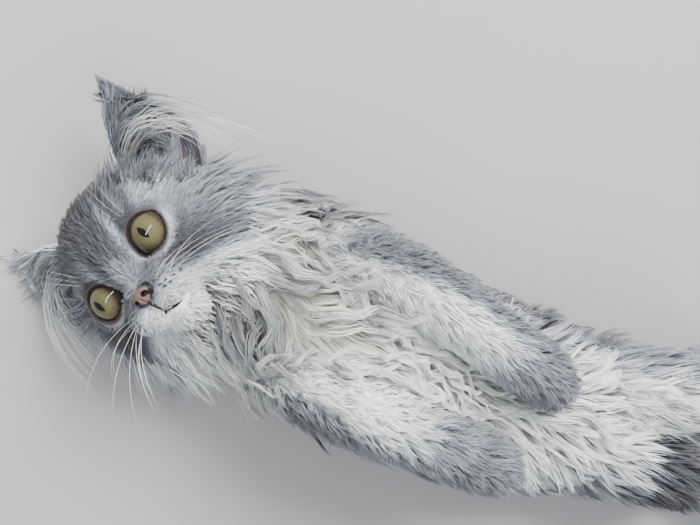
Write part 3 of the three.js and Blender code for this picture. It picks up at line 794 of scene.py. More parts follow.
# Tufts along paths (count, rings + 1, 3), widest near the root and drawn to a point. Their marks are tone,
# cream and a number of their own, and their places are their roots' on the unwrap.
def tuftMesh(name, path, outs, widths, marks, places, flatness=tuftForm["flatness"]):
    count, rings = path.shape[0], path.shape[1] - 1
    along = unit(np.gradient(path, axis=1))
    across = unit(np.cross(outs, along))
    lift = np.cross(along, across)
    times = np.linspace(0, 1, rings + 1)[:-1]
    swell = (0.75 + 0.55 * np.sin(math.pi * np.minimum(1, times * 1.1))) * (1 - 0.75 * times ** 1.5)
    half = widths[:, None] * swell / 2
    spine, wide, high = path[:, :-1], across[:, :-1] * half[..., None], lift[:, :-1] * half[..., None] * flatness
    ringPoints = np.stack([spine - wide - high, spine + wide - high, spine + high * tuftForm["back"]], 2)
    points = np.concatenate([ringPoints.reshape(count, rings * 3, 3), path[:, -1:]], 1)
    points = besideHead(overFloor(points))
    ringShades = np.stack([outs[:, :-1] - across[:, :-1], outs[:, :-1] + across[:, :-1],
                           outs[:, :-1] + lift[:, :-1]], 2)
    shades = np.concatenate([ringShades.reshape(count, rings * 3, 3), outs[:, -1:] + lift[:, -1:]], 1)
    quads, triangles = tuftFaces(count, rings)
    piece = meshOf(name, points.reshape(-1, 3), quads, triangles, unit(shades.reshape(-1, 3)))

    perTuft = rings * 3 + 1
    pointTimes = np.concatenate([np.repeat(times, 3), [1.0]])[None]
    sides = np.append(np.tile([-1.0, 1.0, 0.0], rings), 0.0)[None]
    toneOf, creamOf, ownNumber = (marks[:, None, i] for i in range(3))
    tuftLength = np.linalg.norm(path[:, -1] - path[:, 0], axis=1)[:, None]
    # painted shade at the roots, down in the coat: deeper in long tufts, less in cream ones
    paintedRootShade = (0.3 + 0.7 * smooth(8, 34, tuftLength)) * (1 - 0.8 * creamOf)
    for attribute, values in {
        "furMark": (toneOf, creamOf, pointTimes, ownNumber),
        "furWeave": (sides * 0.5 + 0.5, pointTimes, ownNumber, paintedRootShade),
    }.items():
        rows = np.stack([np.broadcast_to(value, (count, perTuft)) for value in values], 2)
        mark(piece, attribute, rows.reshape(-1, 4))
    patchWide, patchHigh = tuftForm["patch"]
    patch = np.stack([places[:, None, 0] + patchWide * (pointTimes - 0.5),
                      places[:, None, 1] + patchHigh * 0.5 * sides], 2)
    layer = piece.data.uv_layers.new(name="OFBake")
    order = np.concatenate([quads.ravel(), triangles.ravel()])
    layer.data.foreach_set("uv", patch.reshape(-1, 2)[order].astype(np.float32).ravel())
    return piece


def growCoat(name, look, weights):
    count = look["count"]
    picked, mix = sampleRoots(weights, count)
    roots = blendField(skinPoints, picked, mix)
    guides = draw.choice(count, count // look["perTuft"], replace=False)
    guideRoots = roots[guides]
    lengths, rises, curls, frees = (blendField(field, picked[guides], mix[guides])
                                    for field in (length, rise, curl, free))
    lengths *= draw.normal(1, look["uneven"], len(guides))
    rises *= draw.uniform(0.75, 1.2, len(guides))
    paths, outs = layGuides(guideRoots, lengths, rises, curls, frees, look["rings"], look["wander"])
    tree = treeOf(guideRoots)
    owner = np.array([tree.find(point)[1] for point in roots], int)
    times = np.linspace(0, 1, look["rings"] + 1)[None] * draw.uniform(0.72, 1.0, count)[:, None]
    path = alongPath(paths[owner], times)
    out = alongPath(outs[owner], times)
    tight = blendField(clump, picked, mix)[:, None] * np.clip(times * 1.2, 0, 1)
    path += (roots - guideRoots[owner])[:, None] * (1 - tight)[..., None]
    loose = look["stray"] * np.where(draw.random(count) < 0.12, 2.2, 1.0)  # a few stray further
    stray = draw.normal(0, 1, (count, 1, 3)) * (loose[:, None] * times ** 1.5)[..., None]
    path += stray * blendField(length, picked, mix)[:, None, None] * 0.1
    widths = blendField(width, picked, mix) * draw.uniform(0.7, 1.25, count)
    marks = np.stack([
        blendField(tone, picked, mix) + draw.normal(0, 0.02, count),
        blendField(cream, picked, mix),
        draw.random(count),
    ], 1)
    places = blendField(skinPlace, picked, np.eye(3)[mix.argmax(1)])
    piece = tuftMesh(name, path, unit(out), widths, marks, places)
    print("stage:", name, len(piece.data.polygons))
    return piece


def onTriangles(field):
    return field[corners].mean(1)


def trianglesIn(chosen):  # triangles that lie mostly among chosen points
    return onTriangles(chosen.astype(float)) > 0.5


# Each coat piece: its tufts, their rings, how many share a guide, and how much they wander, differ in
# length and stray
coatLooks = {
    "faceFur": {"count": 18000, "rings": 2, "perTuft": 6, "wander": 0.1, "uneven": 0.12, "stray": 0.3},
    "headFur": {"count": 8500, "rings": 3, "perTuft": 7, "wander": 0.15, "uneven": 0.14, "stray": 0.3},
    "throatFur": {"count": 2800, "rings": 8, "perTuft": 12, "wander": 0.26, "uneven": 0.18, "stray": 0.12},
    "chestFurRight": {"count": 3250, "rings": 8, "perTuft": 12, "wander": 0.3, "uneven": 0.2, "stray": 0.1},
    "chestFurLeft": {"count": 3250, "rings": 8, "perTuft": 12, "wander": 0.3, "uneven": 0.2, "stray": 0.1},
    "bellyFur": {"count": 5200, "rings": 5, "perTuft": 9, "wander": 0.25, "uneven": 0.15, "stray": 0.25},
    "hipFur": {"count": 3600, "rings": 3, "perTuft": 8, "wander": 0.2, "uneven": 0.15, "stray": 0.3},
    "forelegFur": {"count": 17000, "rings": 2, "perTuft": 6, "wander": 0.16, "uneven": 0.14, "stray": 0.5},
    "hindlegFur": {"count": 5000, "rings": 3, "perTuft": 7, "wander": 0.16, "uneven": 0.14, "stray": 0.4},
    "tailFur": {"count": 3600, "rings": 4, "perTuft": 9, "wander": 0.2, "uneven": 0.15, "stray": 0.5},
}
coatBorders = {"throat": -92, "chest": -5, "belly": 95, "middle": -2, "neck": -75}
openSkin = 1 - onTriangles(closeTo)
faceWeight = onTriangles(face)
x, y, headZ = onTriangles(skinPoints[:, 0]), onTriangles(skinPoints[:, 1]), onTriangles(headPoints[:, 2])
underneath = 1 - 0.75 * (onTriangles(normals[:, 2]) < -0.3)  # thinner where it is lain on
onHead = trianglesIn(isHead) * openSkin
onTrunk = trianglesIn(isTrunk) * underneath
onChest = onTrunk * (x >= coatBorders["throat"]) * (x < coatBorders["chest"])
coatPlaces = {
    "faceFur": onHead * faceWeight,
    "headFur": onHead * (1 - faceWeight) * (headZ > coatBorders["neck"]),
    "throatFur": onTrunk * (x < coatBorders["throat"]),
    "chestFurRight": onChest * (y < coatBorders["middle"]),
    "chestFurLeft": onChest * (y >= coatBorders["middle"]),
    "bellyFur": onTrunk * (x >= coatBorders["chest"]) * (x < coatBorders["belly"]),
    "hipFur": onTrunk * (x >= coatBorders["belly"]),
    "forelegFur": trianglesIn(isForeleg),
    "hindlegFur": trianglesIn(isHindleg) * underneath,
    "tailFur": trianglesIn(isTail) * underneath,
}
coats = {name: growCoat(name, look, coatPlaces[name].astype(float)) for name, look in coatLooks.items()}


# Ears: a cupped shell, its short fur and the long hair that arcs out of it. The inner line runs from root
# to tip along the crown's edge, the outer one along the cheek's.
earForm = {
    "inner": [(13, 22, -27), (22, 36, -27), (31, 47, -28), (44.5, 56.5, -28)],
    "outer": [(40, -6, -29), (57, 13, -29), (57, 36, -29), (45.5, 57.5, -28.5)],
    "open": (0.35, 0, 1), "depth": 18, "wall": 1.6, "rows": 30, "columns": 34, "pastEdge": 0.35,
}


def earMirror(side):
    return np.array([side, 1.0, 1.0])


# A point of the ear: t from root to tip, and an angle from the cheek's edge round the back to the crown's
def onEar(side, t, turn, inward):
    mirror = earMirror(side)
    near, far = lineAt(earForm["inner"], t) * mirror, lineAt(earForm["outer"], t) * mirror
    half = (far - near) / 2
    reach = np.maximum(np.linalg.norm(half, axis=-1) - inward, 0.3)
    deep = np.maximum(earForm["depth"] / 2 * (1.02 - t) ** 0.6 - inward, 0.2)
    forwards = unit(np.array(earForm["open"]) * mirror)
    return ((near + far) / 2 + unit(half) * (np.cos(turn) * reach)[..., None]
            - forwards * (np.sin(turn) * deep)[..., None])


def earShell(side):
    rows, columns, past = earForm["rows"], earForm["columns"], earForm["pastEdge"]
    turns = np.linspace(-past, math.pi + past, columns)
    t, turn = np.meshgrid(np.linspace(0, 0.99, rows), turns, indexing="ij")
    outer = onEar(side, t, turn, 0.0)
    inner = onEar(side, t * 0.99, np.clip(turn, 0.05 - past, math.pi + past - 0.05), earForm["wall"])
    points = np.concatenate([outer.reshape(-1, 3), inner.reshape(-1, 3)])
    count = rows * columns
    quads = []
    for i in range(rows - 1):
        for j in range(columns - 1):
            a = i * columns + j
            b, c, d = a + 1, a + columns + 1, a + columns
            quads.append((a, b, c, d))
            quads.append((count + a, count + d, count + c, count + b))
    border = [(i, 0) for i in range(rows)] + [(rows - 1, j) for j in range(1, columns)]
    border += [(i, columns - 1) for i in range(rows - 2, -1, -1)] + [(0, j) for j in range(columns - 2, 0, -1)]
    for (row, column), (nextRow, nextColumn) in zip(border, border[1:] + border[:1]):
        a, b = row * columns + column, nextRow * columns + nextColumn
        quads.append((a, b, count + b, count + a))
    name = "earShell" + ("Left" if side > 0 else "Right")
    piece = meshOf(name, overFloor(toWorld(points)), np.array(quads), np.zeros((0, 3), int))
    isInner = np.repeat([0.0, 1.0], count)
    mark(piece, "earMark", np.repeat(isInner[:, None], 4, 1))
    deselectAll()
    bpy.context.view_layer.objects.active = piece
    piece.select_set(True)
    bpy.ops.object.mode_set(mode="EDIT")
    bpy.ops.mesh.select_all(action="SELECT")
    bpy.ops.mesh.normals_make_consistent(inside=False)
    bpy.ops.object.mode_set(mode="OBJECT")
    return piece


ears = joined("ears", [earShell(1), earShell(-1)])


def hairs(starts, firsts, seconds, outs, count):  # arcs from starts, drawn along firsts and bending to seconds
    times = np.linspace(0, 1, count + 1)[None, :, None]
    return starts[:, None] + firsts[:, None] * times + seconds[:, None] * times ** 2, np.repeat(
        outs[:, None], count + 1, 1)


earHair = {
    "edge": 600, "back": 850, "tip": 130, "fan": 620, "lining": 360, "fringe": 330, "rings": 4, "wispRings": 7,
}
# Wisps of long hair: how many, hairs in each, root and its run, size, bend, tone
earWisps = [
    {"wisps": 5, "hairs": 11, "root": (23, 30), "run": (5, 6), "size": (0.9, 1.03), "tone": 0.03},
    {"wisps": 8, "hairs": 9, "root": (25, 32), "run": (11, 13), "size": (0.42, 0.7), "tone": 0.24},
]


def earPiece(name, groups, rings):  # groups of starts, firsts, seconds, outs, widths and tones
    starts, firsts, seconds, outs, widths, tones = (np.concatenate(values) for values in zip(*groups))
    path, out = hairs(starts, firsts, seconds, unit(outs), rings)
    total = len(path)
    marks = np.stack([tones, np.zeros(total), draw.random(total)], 1)
    spots = np.stack([0.53 + 0.42 * draw.random(total), 0.78 + 0.18 * draw.random(total)], 1)
    return tuftMesh(name, toWorld(path), unit(out @ headAxes), widths, marks, spots)


def earFront(side, n):
    return np.tile([side * 0.2, 0.1, 1.0], (n, 1))


def earWisp(side, form):
    n = form["wisps"] * form["hairs"]
    wisp = np.repeat(np.arange(form["wisps"]), form["hairs"])

    def each(kind, low, high, *shape):  # a number or more for each wisp, given to its hairs
        return kind(low, high, (form["wisps"], *shape))[wisp]

    t = draw.random(form["wisps"])[wisp]
    (rootX, rootY), (runX, runY) = form["root"], form["run"]
    starts = np.stack([rootX + runX * t, rootY + runY * t, -25 + 0 * t], 1)
    starts += each(draw.normal, 0, 1.3, 3) + draw.normal(0, 0.9, (n, 3))
    size = (90 if side > 0 else 80) * each(draw.uniform, *form["size"])
    size *= draw.uniform(0.86, 1.04, n)
    first = np.stack([94 + 0 * t, 32 - 4 * t, 12 + each(draw.normal, 0, 7)], 1)
    first += each(draw.normal, 0, 6, 3) + draw.normal(0, 1.6, (n, 3))
    second = np.array([-42, -84, -12]) + each(draw.normal, 0, 5, 3)
    return (starts * earMirror(side), unit(first) * size[:, None] * earMirror(side),
            unit(second) * (0.95 * size)[:, None] * earMirror(side), earFront(side, n),
            draw.uniform(0.2, 0.36, n), form["tone"] + 0.08 * draw.random(n))


def earTone(side, t):  # the left ear darkens to its tip, the right one is light all over
    return 0.31 + 0.34 * t ** 5 if side > 0 else 0.14 + 0 * t


def earFan(side, n):  # hair that lines the cup from the crown's edge
    t = draw.random(n)
    inwardRun = 14 * draw.random(n) ** 1.3
    starts = np.stack([17 + 21 * t + inwardRun, 31 + 20 * t - inwardRun, -27 - 0.2 * inwardRun], 1)
    starts += draw.normal(0, 1.0, (n, 3))
    size = draw.uniform(8, 17, n)
    first = np.stack([0.62 + draw.normal(0, 0.12, n), 0.7 + 0 * t, 0.15 + 0 * t], 1)
    second = np.tile([0.35, -0.25, 0.0], (n, 1)) * size[:, None]
    tone = (0.36 if side > 0 else 0.12) + 0.012 * inwardRun
    return (starts * earMirror(side), unit(first) * size[:, None] * earMirror(side), second * earMirror(side),
            earFront(side, n), draw.uniform(0.3, 0.5, n), tone + 0.12 * draw.random(n))


def earLining(side, n):  # short fur inside the cup
    lifted = earForm["wall"] + 0.2
    t = 0.9 * draw.random(n)
    around = draw.uniform(0.1, math.pi - 0.1, n)
    starts = onEar(side, t, around, lifted)
    inwards = unit(onEar(side, t, around, 6.0) - starts)
    tipward = unit(onEar(side, t + 0.03, around, lifted) - starts)
    size = draw.uniform(7, 13, n)
    return (starts, tipward * (0.9 * size)[:, None] + inwards * (0.35 * size)[:, None],
            np.array([0.25, -0.1, 0.15]) * earMirror(side) * size[:, None], inwards + earFront(side, n),
            draw.uniform(0.35, 0.6, n), 0.29 - 0.08 * t + 0.1 * draw.random(n))


def earFringe(side, n):  # the head's fur that reaches over the ear's foot
    wisps = n // 9
    wisp = draw.integers(0, wisps, n)
    t = draw.random(wisps)[wisp]
    starts = onSkull(np.stack([16 + 27 * t, 27 - 27 * t, -14 - 6 * t], 1)
                     + draw.normal(0, 2.6, (wisps, 3))[wisp] + draw.normal(0, 1.2, (n, 3)))
    first = np.stack([0.6 + 0.1 * t, 0.5 + 0.2 * t, 0.3 + 0 * t], 1)
    first += draw.normal(0, 0.24, (wisps, 3))[wisp] + draw.normal(0, 0.06, (n, 3))
    size = draw.uniform(0.5, 1.25, wisps)[wisp] * draw.uniform(0.75, 1.1, n) * (9 + 10 * t)
    bend = np.array([0.2, -0.15, -0.2]) + draw.normal(0, 0.16, (wisps, 3))[wisp]
    return (starts * earMirror(side), unit(first) * size[:, None] * earMirror(side),
            bend * earMirror(side) * size[:, None], earFront(side, n), draw.uniform(0.3, 0.55, n),
            0.34 - 0.1 * t + 0.2 * draw.random(wisps)[wisp])


def earBack(side, n):  # fur on the back, lying towards the tip
    t = draw.random(n) ** 0.8 * 0.97
    around = draw.uniform(-0.3, math.pi + 0.3, n)
    starts = onEar(side, t, around, 0.3)
    outward = unit(onEar(side, t, around, -1.0) - starts)
    tipward = unit(onEar(side, t + 0.03, around, 0.3) - starts)
    size = draw.uniform(5, 9, n)
    return (starts, tipward * size[:, None], outward * (size * 0.15)[:, None], outward,
            draw.uniform(0.5, 0.8, n), earTone(side, t) + 0.05 * draw.normal(0, 1, n))


def earEdge(side, n):  # hair along the two front edges, darker towards the cheek on the left ear
    t = draw.random(n) ** 0.8 * 0.99
    onCheek = draw.integers(0, 2, n) > 0
    around = np.where(onCheek, -0.3, math.pi + 0.3)
    starts = onEar(side, t, around, 0.6)
    tipward = unit(onEar(side, t + 0.03, around, 0.6) - starts)
    inwards = unit(onEar(side, t, np.full(n, math.pi / 2), 5.0) - starts) * earMirror(side)
    size = draw.uniform(3, 7, n)
    front = earFront(side, n)
    tone = np.where(onCheek, 0.5 if side > 0 else 0.2, 0.6 * earTone(side, t))
    return (starts, tipward * size[:, None] + front * (0.3 * size)[:, None],
            unit(front) * (size * 0.15)[:, None], front - 0.3 * inwards,
            draw.uniform(0.4, 0.75, n), tone + 0.06 * draw.normal(0, 1, n))


def earTip(side, n):  # the tuft drawn together to a point
    t = 0.6 + 0.38 * draw.random(n)
    starts = onEar(side, t, draw.uniform(0, math.pi, n), 0.8)
    apex = np.array([52.0, 66.0, -28.5]) * earMirror(side)
    first = (apex - starts) * draw.uniform(0.6, 1.06, n)[:, None] + draw.normal(0, 0.35, (n, 3))
    return (starts, first, draw.normal(0, 0.4, (n, 3)), earFront(side, n),
            draw.uniform(0.45, 0.8, n), earTone(side, t) + 0.06 * draw.normal(0, 1, n))


earGrowers = {
    "fan": earFan, "lining": earLining, "fringe": earFringe, "back": earBack, "edge": earEdge, "tip": earTip,
}
coats["earLongFur"] = earPiece(
    "earLongFur", [earWisp(side, form) for side in (1, -1) for form in earWisps], earHair["wispRings"])
coats["earFur"] = earPiece(
    "earFur", [grow(side, earHair[name]) for side in (1, -1) for name, grow in earGrowers.items()],
    earHair["rings"])
print("stage: ears", len(coats["earFur"].data.polygons))

# The ruff: long locks from the cheeks and chin that lie over the neck. The sweep is in degrees round the
# face, from the right cheek under the chin to the left one.
ruffForm = {
    "guides": 420, "perGuide": 8, "rings": 6, "sweep": (-226, 46), "ring": (30, 33), "deep": (14, 34),
    "length": (26, 39), "spread": 2.4, "width": (0.5, 0.85),
}


def ruffCoat():
    n = ruffForm["guides"]
    turn = np.radians(draw.uniform(*ruffForm["sweep"], n))
    cosine, sine = np.cos(turn), np.sin(turn)
    nearRing, farRing = ruffForm["ring"]
    front, back = ruffForm["deep"]
    short, long = ruffForm["length"]
    tier = draw.random(n)
    ring = nearRing + (farRing - nearRing) * draw.random(n)
    starts = np.stack([cosine * ring, sine * ring * 0.8 - 6, -front - (back - front) * tier], 1)
    low = np.maximum(0, -sine)
    size = short + (long - short) * tier
    size = size * (1 - 0.25 * low - 0.22 * smooth(0.2, 0.9, cosine)) * draw.normal(1, 0.14, n)
    first = np.stack([cosine * 0.85 + draw.normal(0, 0.12, n), sine * 0.6 - 0.4 + draw.normal(0, 0.1, n),
                      -0.2 + draw.normal(0, 0.12, n)], 1)
    second = np.stack([draw.normal(0, 0.25, n), -0.7 + 0 * low, -0.5 + 0 * low], 1)
    out = unit(np.stack([cosine * 0.7, sine * 0.6, 0.9 + 0 * low], 1))
    path, outs = hairs(starts, unit(first) * size[:, None], unit(second) * (0.5 * size)[:, None],
                       out, ruffForm["rings"])
    owner = np.repeat(np.arange(n), ruffForm["perGuide"])
    total = len(owner)
    times = np.linspace(0, 1, ruffForm["rings"] + 1)[None]
    offset = draw.normal(0, ruffForm["spread"], (total, 3))
    turns = 4 + 6 * low + draw.uniform(0, 3, n)
    bend = np.sin(times * turns[owner][:, None] + draw.uniform(0, 6.28, n)[owner][:, None])
    aside = np.cross(unit(first), out)[owner]
    path = path[owner] + offset[:, None] * (1 - 0.75 * times)[..., None]
    path += aside[:, None] * (bend * times * (1.8 + 1.6 * low)[owner][:, None])[..., None]
    ruffTone = 0.25 * smooth(-26, 2, starts[:, 1]) + 0.05
    marks = np.stack([ruffTone[owner] + draw.normal(0, 0.04, total), 0.35 * low[owner], draw.random(total)], 1)
    widths = draw.uniform(*ruffForm["width"], total)
    return tuftMesh("ruffFur", toWorld(path), unit(outs[owner] @ headAxes), widths, marks,
                    onHeadChart(starts)[owner])


coats["ruffFur"] = ruffCoat()
print("stage: ruff", len(coats["ruffFur"].data.polygons))

# Eyeballs with a bulging cornea, the lids' rims, the line of the lips with painted shade in their crease, and
# the nose
corneaForm = {"height": 0.045, "from": 0.72, "to": 0.95, "segments": 64, "rings": 48}
lipForm = {"shares": (1.04, 0.46, 0.12), "lower": (0.7, 1.05, 1.1), "width": (1.55, 1.6, 1.2), "flatness": 0.6}


def eyeball(side):
    centre, outward, upward, axis = eyeFrame(side)
    piece = ball("eye" + ("Left" if side > 0 else "Right"), corneaForm["segments"], corneaForm["rings"])
    start = pointsOf(piece.data)
    bulge = 1 + corneaForm["height"] * smooth(corneaForm["from"], corneaForm["to"], start[:, 2])
    points = centre + eyeForm["radius"] * bulge[:, None] * (
        start[:, :1] * outward * side + start[:, 1:2] * upward + start[:, 2:3] * axis)
    setPoints(piece.data, toWorld(points) * metres)
    mark(piece, "eyePlace", np.stack([start[:, 0] * side, start[:, 1], start[:, 2], np.ones(len(start))], 1))
    return piece


# the dark line is partly the lips' own dark skin, partly painted shade in the crease between them
def lipLine():  # the dark line where the lips meet, from the nose and out to both sides
    times = np.linspace(0, 1, 15)
    path = np.array([
        onSkull(lineAt(line, times * shares)) for line, shares in zip(mouthLines, lipForm["shares"])])
    outs = unit(path - skullForm["middle"])
    path -= outs * np.array(lipForm["lower"])[:, None, None]
    marks = np.tile([1.0, 0.0, 0.5], (len(path), 1))
    spots = np.tile([0.9, 0.9], (len(path), 1))
    return tuftMesh("lipLine", toWorld(path), unit(outs @ headAxes), np.array(lipForm["width"]), marks, spots,
                    lipForm["flatness"])


lips = lipLine()
eyes = {"eye_left": eyeball(1), "eye_right": eyeball(-1)}


def rimTube(name, side, beyond, lower, thicken):  # a tube round the opening, as thick as thicken says
    centre, outward, upward, axis = eyeFrame(side)
    count, sides = 72, 10
    angles = np.linspace(0, 2 * math.pi, count, endpoint=False)
    radius = lidRadius(angles)
    height = np.sqrt(eyeForm["radius"] ** 2 - np.minimum(radius, eyeForm["radius"] - 0.25) ** 2) + 0.35 - lower
    flat = np.cos(angles)[:, None] * outward + np.sin(angles)[:, None] * upward
    spine = centre + flat * (radius + beyond)[:, None] + axis * height[:, None]
    thick = thicken(angles)
    points = np.stack([
        spine + flat * (math.cos(around) * thick)[:, None] + axis * (math.sin(around) * thick * 0.9)[:, None]
        for around in np.linspace(0, 2 * math.pi, sides, endpoint=False)], 1).reshape(-1, 3)
    i, j = np.meshgrid(np.arange(count), np.arange(sides), indexing="ij")
    a, b = i * sides + j, i * sides + (j + 1) % sides
    c, d = ((i + 1) % count) * sides + (j + 1) % sides, ((i + 1) % count) * sides + j
    quads = np.stack([a, b, c, d], -1).reshape(-1, 4)
    if side > 0:
        quads = quads[:, ::-1]
    return meshOf(name, toWorld(points), quads, np.zeros((0, 3), int))


def rimThick(angles):
    return 0.55 + 0.6 * smooth(0.0, 0.9, np.sin(angles - 0.6)) + 0.3 * hump(angles, math.radians(205), 0.3)


def lineThick(angles):
    return 0.12 + 0.62 * smooth(0.35, -0.5, np.sin(angles)) + 0.25 * hump(angles, math.radians(205), 0.5)


lidRims = joined("lidRims", [rimTube("lidRim", side, 0.1, 0, rimThick) for side in (1, -1)])
lidLines = joined("lidLines", [rimTube("lidLine", side, 1.35, 0.1, lineThick) for side in (1, -1)])

# Nostrils and the slits beside them: x and y from the nose's middle, and two half sizes
noseForm = {
    "centre": np.array([0, -15.2, 8.9]), "wide": 4.8, "high": 3.7, "deep": 3.9, "segments": 96, "rings": 80,
    "hole": (2.7, -0.3, 1.35, 1.05), "slit": (4.3, -1.3, 1.6, 0.55), "wing": (3.6, 0.9, 1.0, 1.0),
}


def noseAway(local, side, name):  # how far from a hole, slit or wing, with 1 at its edge
    x, y, wide, high = noseForm[name]
    return np.hypot((local[:, 0] - side * x) / wide, (local[:, 1] - y) / high)


def noseLeather():
    piece = ball("noseLeather", noseForm["segments"], noseForm["rings"])
    start = pointsOf(piece.data)
    narrow = 1 - 0.42 * smooth(0.1, -0.9, start[:, 1])
    local = np.stack([start[:, 0] * narrow * noseForm["wide"], start[:, 1] * noseForm["high"],
                      start[:, 2] * noseForm["deep"]], 1)
    raised = np.zeros(len(start))
    dark = np.zeros(len(start))
    for side in (1, -1):
        hole, slit = noseAway(local, side, "hole"), noseAway(local, side, "slit")
        deep = 2.4 * smooth(1.25, 0.5, hole) + 1.1 * smooth(1.2, 0.4, slit)
        wing = 0.5 * hump(noseAway(local, side, "wing"), 0.6, 0.6)
        raised += np.where(start[:, 2] > 0.1, wing - deep, 0)
        # painted shade: the hollows of the nostrils and slits are marked to be painted nearly black
        dark = np.maximum(dark, np.maximum(smooth(1.25, 0.85, hole), smooth(1.2, 0.7, slit)))
    cleft = hump(local[:, 0], 0, 0.5) * smooth(0.5, -1.5, local[:, 1])
    raised -= 0.8 * cleft * (start[:, 2] > 0)
    points = noseForm["centre"] + local
    points[:, 2] += raised
    setPoints(piece.data, toWorld(points) * metres)
    rim = smooth(0.75, 1.0, np.hypot(local[:, 0] / 6.0, local[:, 1] / 4.4))
    mark(piece, "noseMark", np.stack([dark, rim, 0 * dark, 0 * dark + 1], 1))
    return piece


nose = noseLeather()
print("stage: eyes and nose")

# Whiskers and brow hairs, and the rows of dark spots on the pads
whiskerForm = {"perRow": 3, "rows": 3, "brow": 3, "width": 0.105, "flatness": 0.8, "rings": 14, "spots": (3, 5)}


def whiskers():
    hairLines = []  # root, first run and bend of each
    for side in (1, -1):
        for row in range(whiskerForm["rows"]):
            for column in range(whiskerForm["perRow"]):
                root = onSkull([(side * (9 + 3 * column), -16.5 - 2.4 * row, 9 - 2.6 * column)])[0]
                size = draw.uniform(26, 50) * (1 - 0.08 * row)
                lift = 0.2 - 0.33 * row + draw.normal(0, 0.16)
                first = unit(np.array([side * 1.0, lift, 0.6 - 0.22 * column]))
                second = np.array([side * 0.05, -0.35 + draw.normal(0, 0.08), -0.35])
                hairLines.append((root, first * size, second * size))
        for i in range(whiskerForm["brow"]):
            root = onSkull([(side * (14 + 2.2 * i), 11.5, -2)])[0]
            size = draw.uniform(14, 24)
            first = unit(np.array([side * (0.15 + 0.12 * i), 0.9, 0.75]))
            hairLines.append((root, first * size, np.array([side * 0.1, 0.1, -0.25]) * size))
    starts, firsts, seconds = (np.array(values) for values in zip(*hairLines))
    n = len(starts)
    path, outs = hairs(starts, firsts, seconds, np.tile([0.0, 0.3, 1.0], (n, 1)), whiskerForm["rings"])
    marks = np.tile([0.0, 0.0, 0.9], (n, 1))
    spots = np.stack([0.53 + 0.4 * draw.random(n), 0.97 + 0.01 * draw.random(n)], 1)
    widths = whiskerForm["width"] * draw.uniform(0.6, 1.1, n) * np.where(starts[:, 1] > 0, 0.45, 1.0)
    return tuftMesh("whiskers", toWorld(path), unit(outs @ headAxes), widths, marks, spots,
                    whiskerForm["flatness"])


def whiskerSpots():
    rows, columns = whiskerForm["spots"]
    roots = [(side * (8.5 + 2.2 * column + 0.6 * row), -15.6 - 2.3 * row + 0.2 * column, 9.5 - 1.9 * column)
             for side in (1, -1) for row in range(rows) for column in range(columns)]
    roots = onSkull(np.array(roots) + draw.normal(0, 0.25, (len(roots), 3)))
    n = len(roots)
    out = unit(roots - skullForm["middle"])
    back = unit(roots - noseTip)
    back = unit(back - out * (back * out).sum(1)[:, None])
    size = draw.uniform(1.6, 2.6, n)
    path, outs = hairs(roots + out * 0.25, back * size[:, None], out * 0.5, out, 2)
    marks = np.stack([np.full(n, 0.66), np.zeros(n), draw.random(n)], 1)
    spots = np.tile([0.96, 0.97], (n, 1))
    widths = draw.uniform(0.75, 1.1, n)
    return tuftMesh("whiskerSpots", toWorld(path), unit(outs @ headAxes), widths, marks, spots)


coats["whiskers"] = whiskers()
coats["whiskerSpots"] = whiskerSpots()
print("stage: whiskers")


# Materials
class Socket:  # an output socket that takes part in arithmetic
    def __init__(self, tree, output):
        self.tree, self.output = tree, output

    def node(self, kind, settings=None, inputs=None, output=0):
        return makeNode(self.tree, kind, settings, inputs, output)

    def math(self, operation, other=None, swap=False):
        pair = [self] if other is None else ([other, self] if swap else [self, other])
        return self.node("ShaderNodeMath", {"operation": operation}, dict(enumerate(pair)))

    def size(self):
        return self.math("ABSOLUTE")

    def __add__(self, other):
        return self.math("ADD", other)

    def __radd__(self, other):
        return self.math("ADD", other, True)

    def __sub__(self, other):
        return self.math("SUBTRACT", other)

    def __rsub__(self, other):
        return self.math("SUBTRACT", other, True)

    def __mul__(self, other):
        return self.math("MULTIPLY", other)

    def __rmul__(self, other):
        return self.math("MULTIPLY", other, True)

    def __pow__(self, other):
        return self.math("POWER", other)


def makeNode(tree, kind, settings=None, inputs=None, output=0):
    node = tree.nodes.new(kind)
    for name, value in (settings or {}).items():
        if name == "stops":
            ramp = node.color_ramp
            while len(ramp.elements) < len(value):
                ramp.elements.new(0.5)
            for element, (place, colour) in zip(ramp.elements, value):
                element.position = place
                element.color = (*colour, 1)
        else:
            setattr(node, name, value)
    for name, value in (inputs or {}).items():
        if isinstance(value, Socket):
            tree.links.new(value.output, node.inputs[name])
        else:
            node.inputs[name].default_value = value
    return Socket(tree, node.outputs[output])


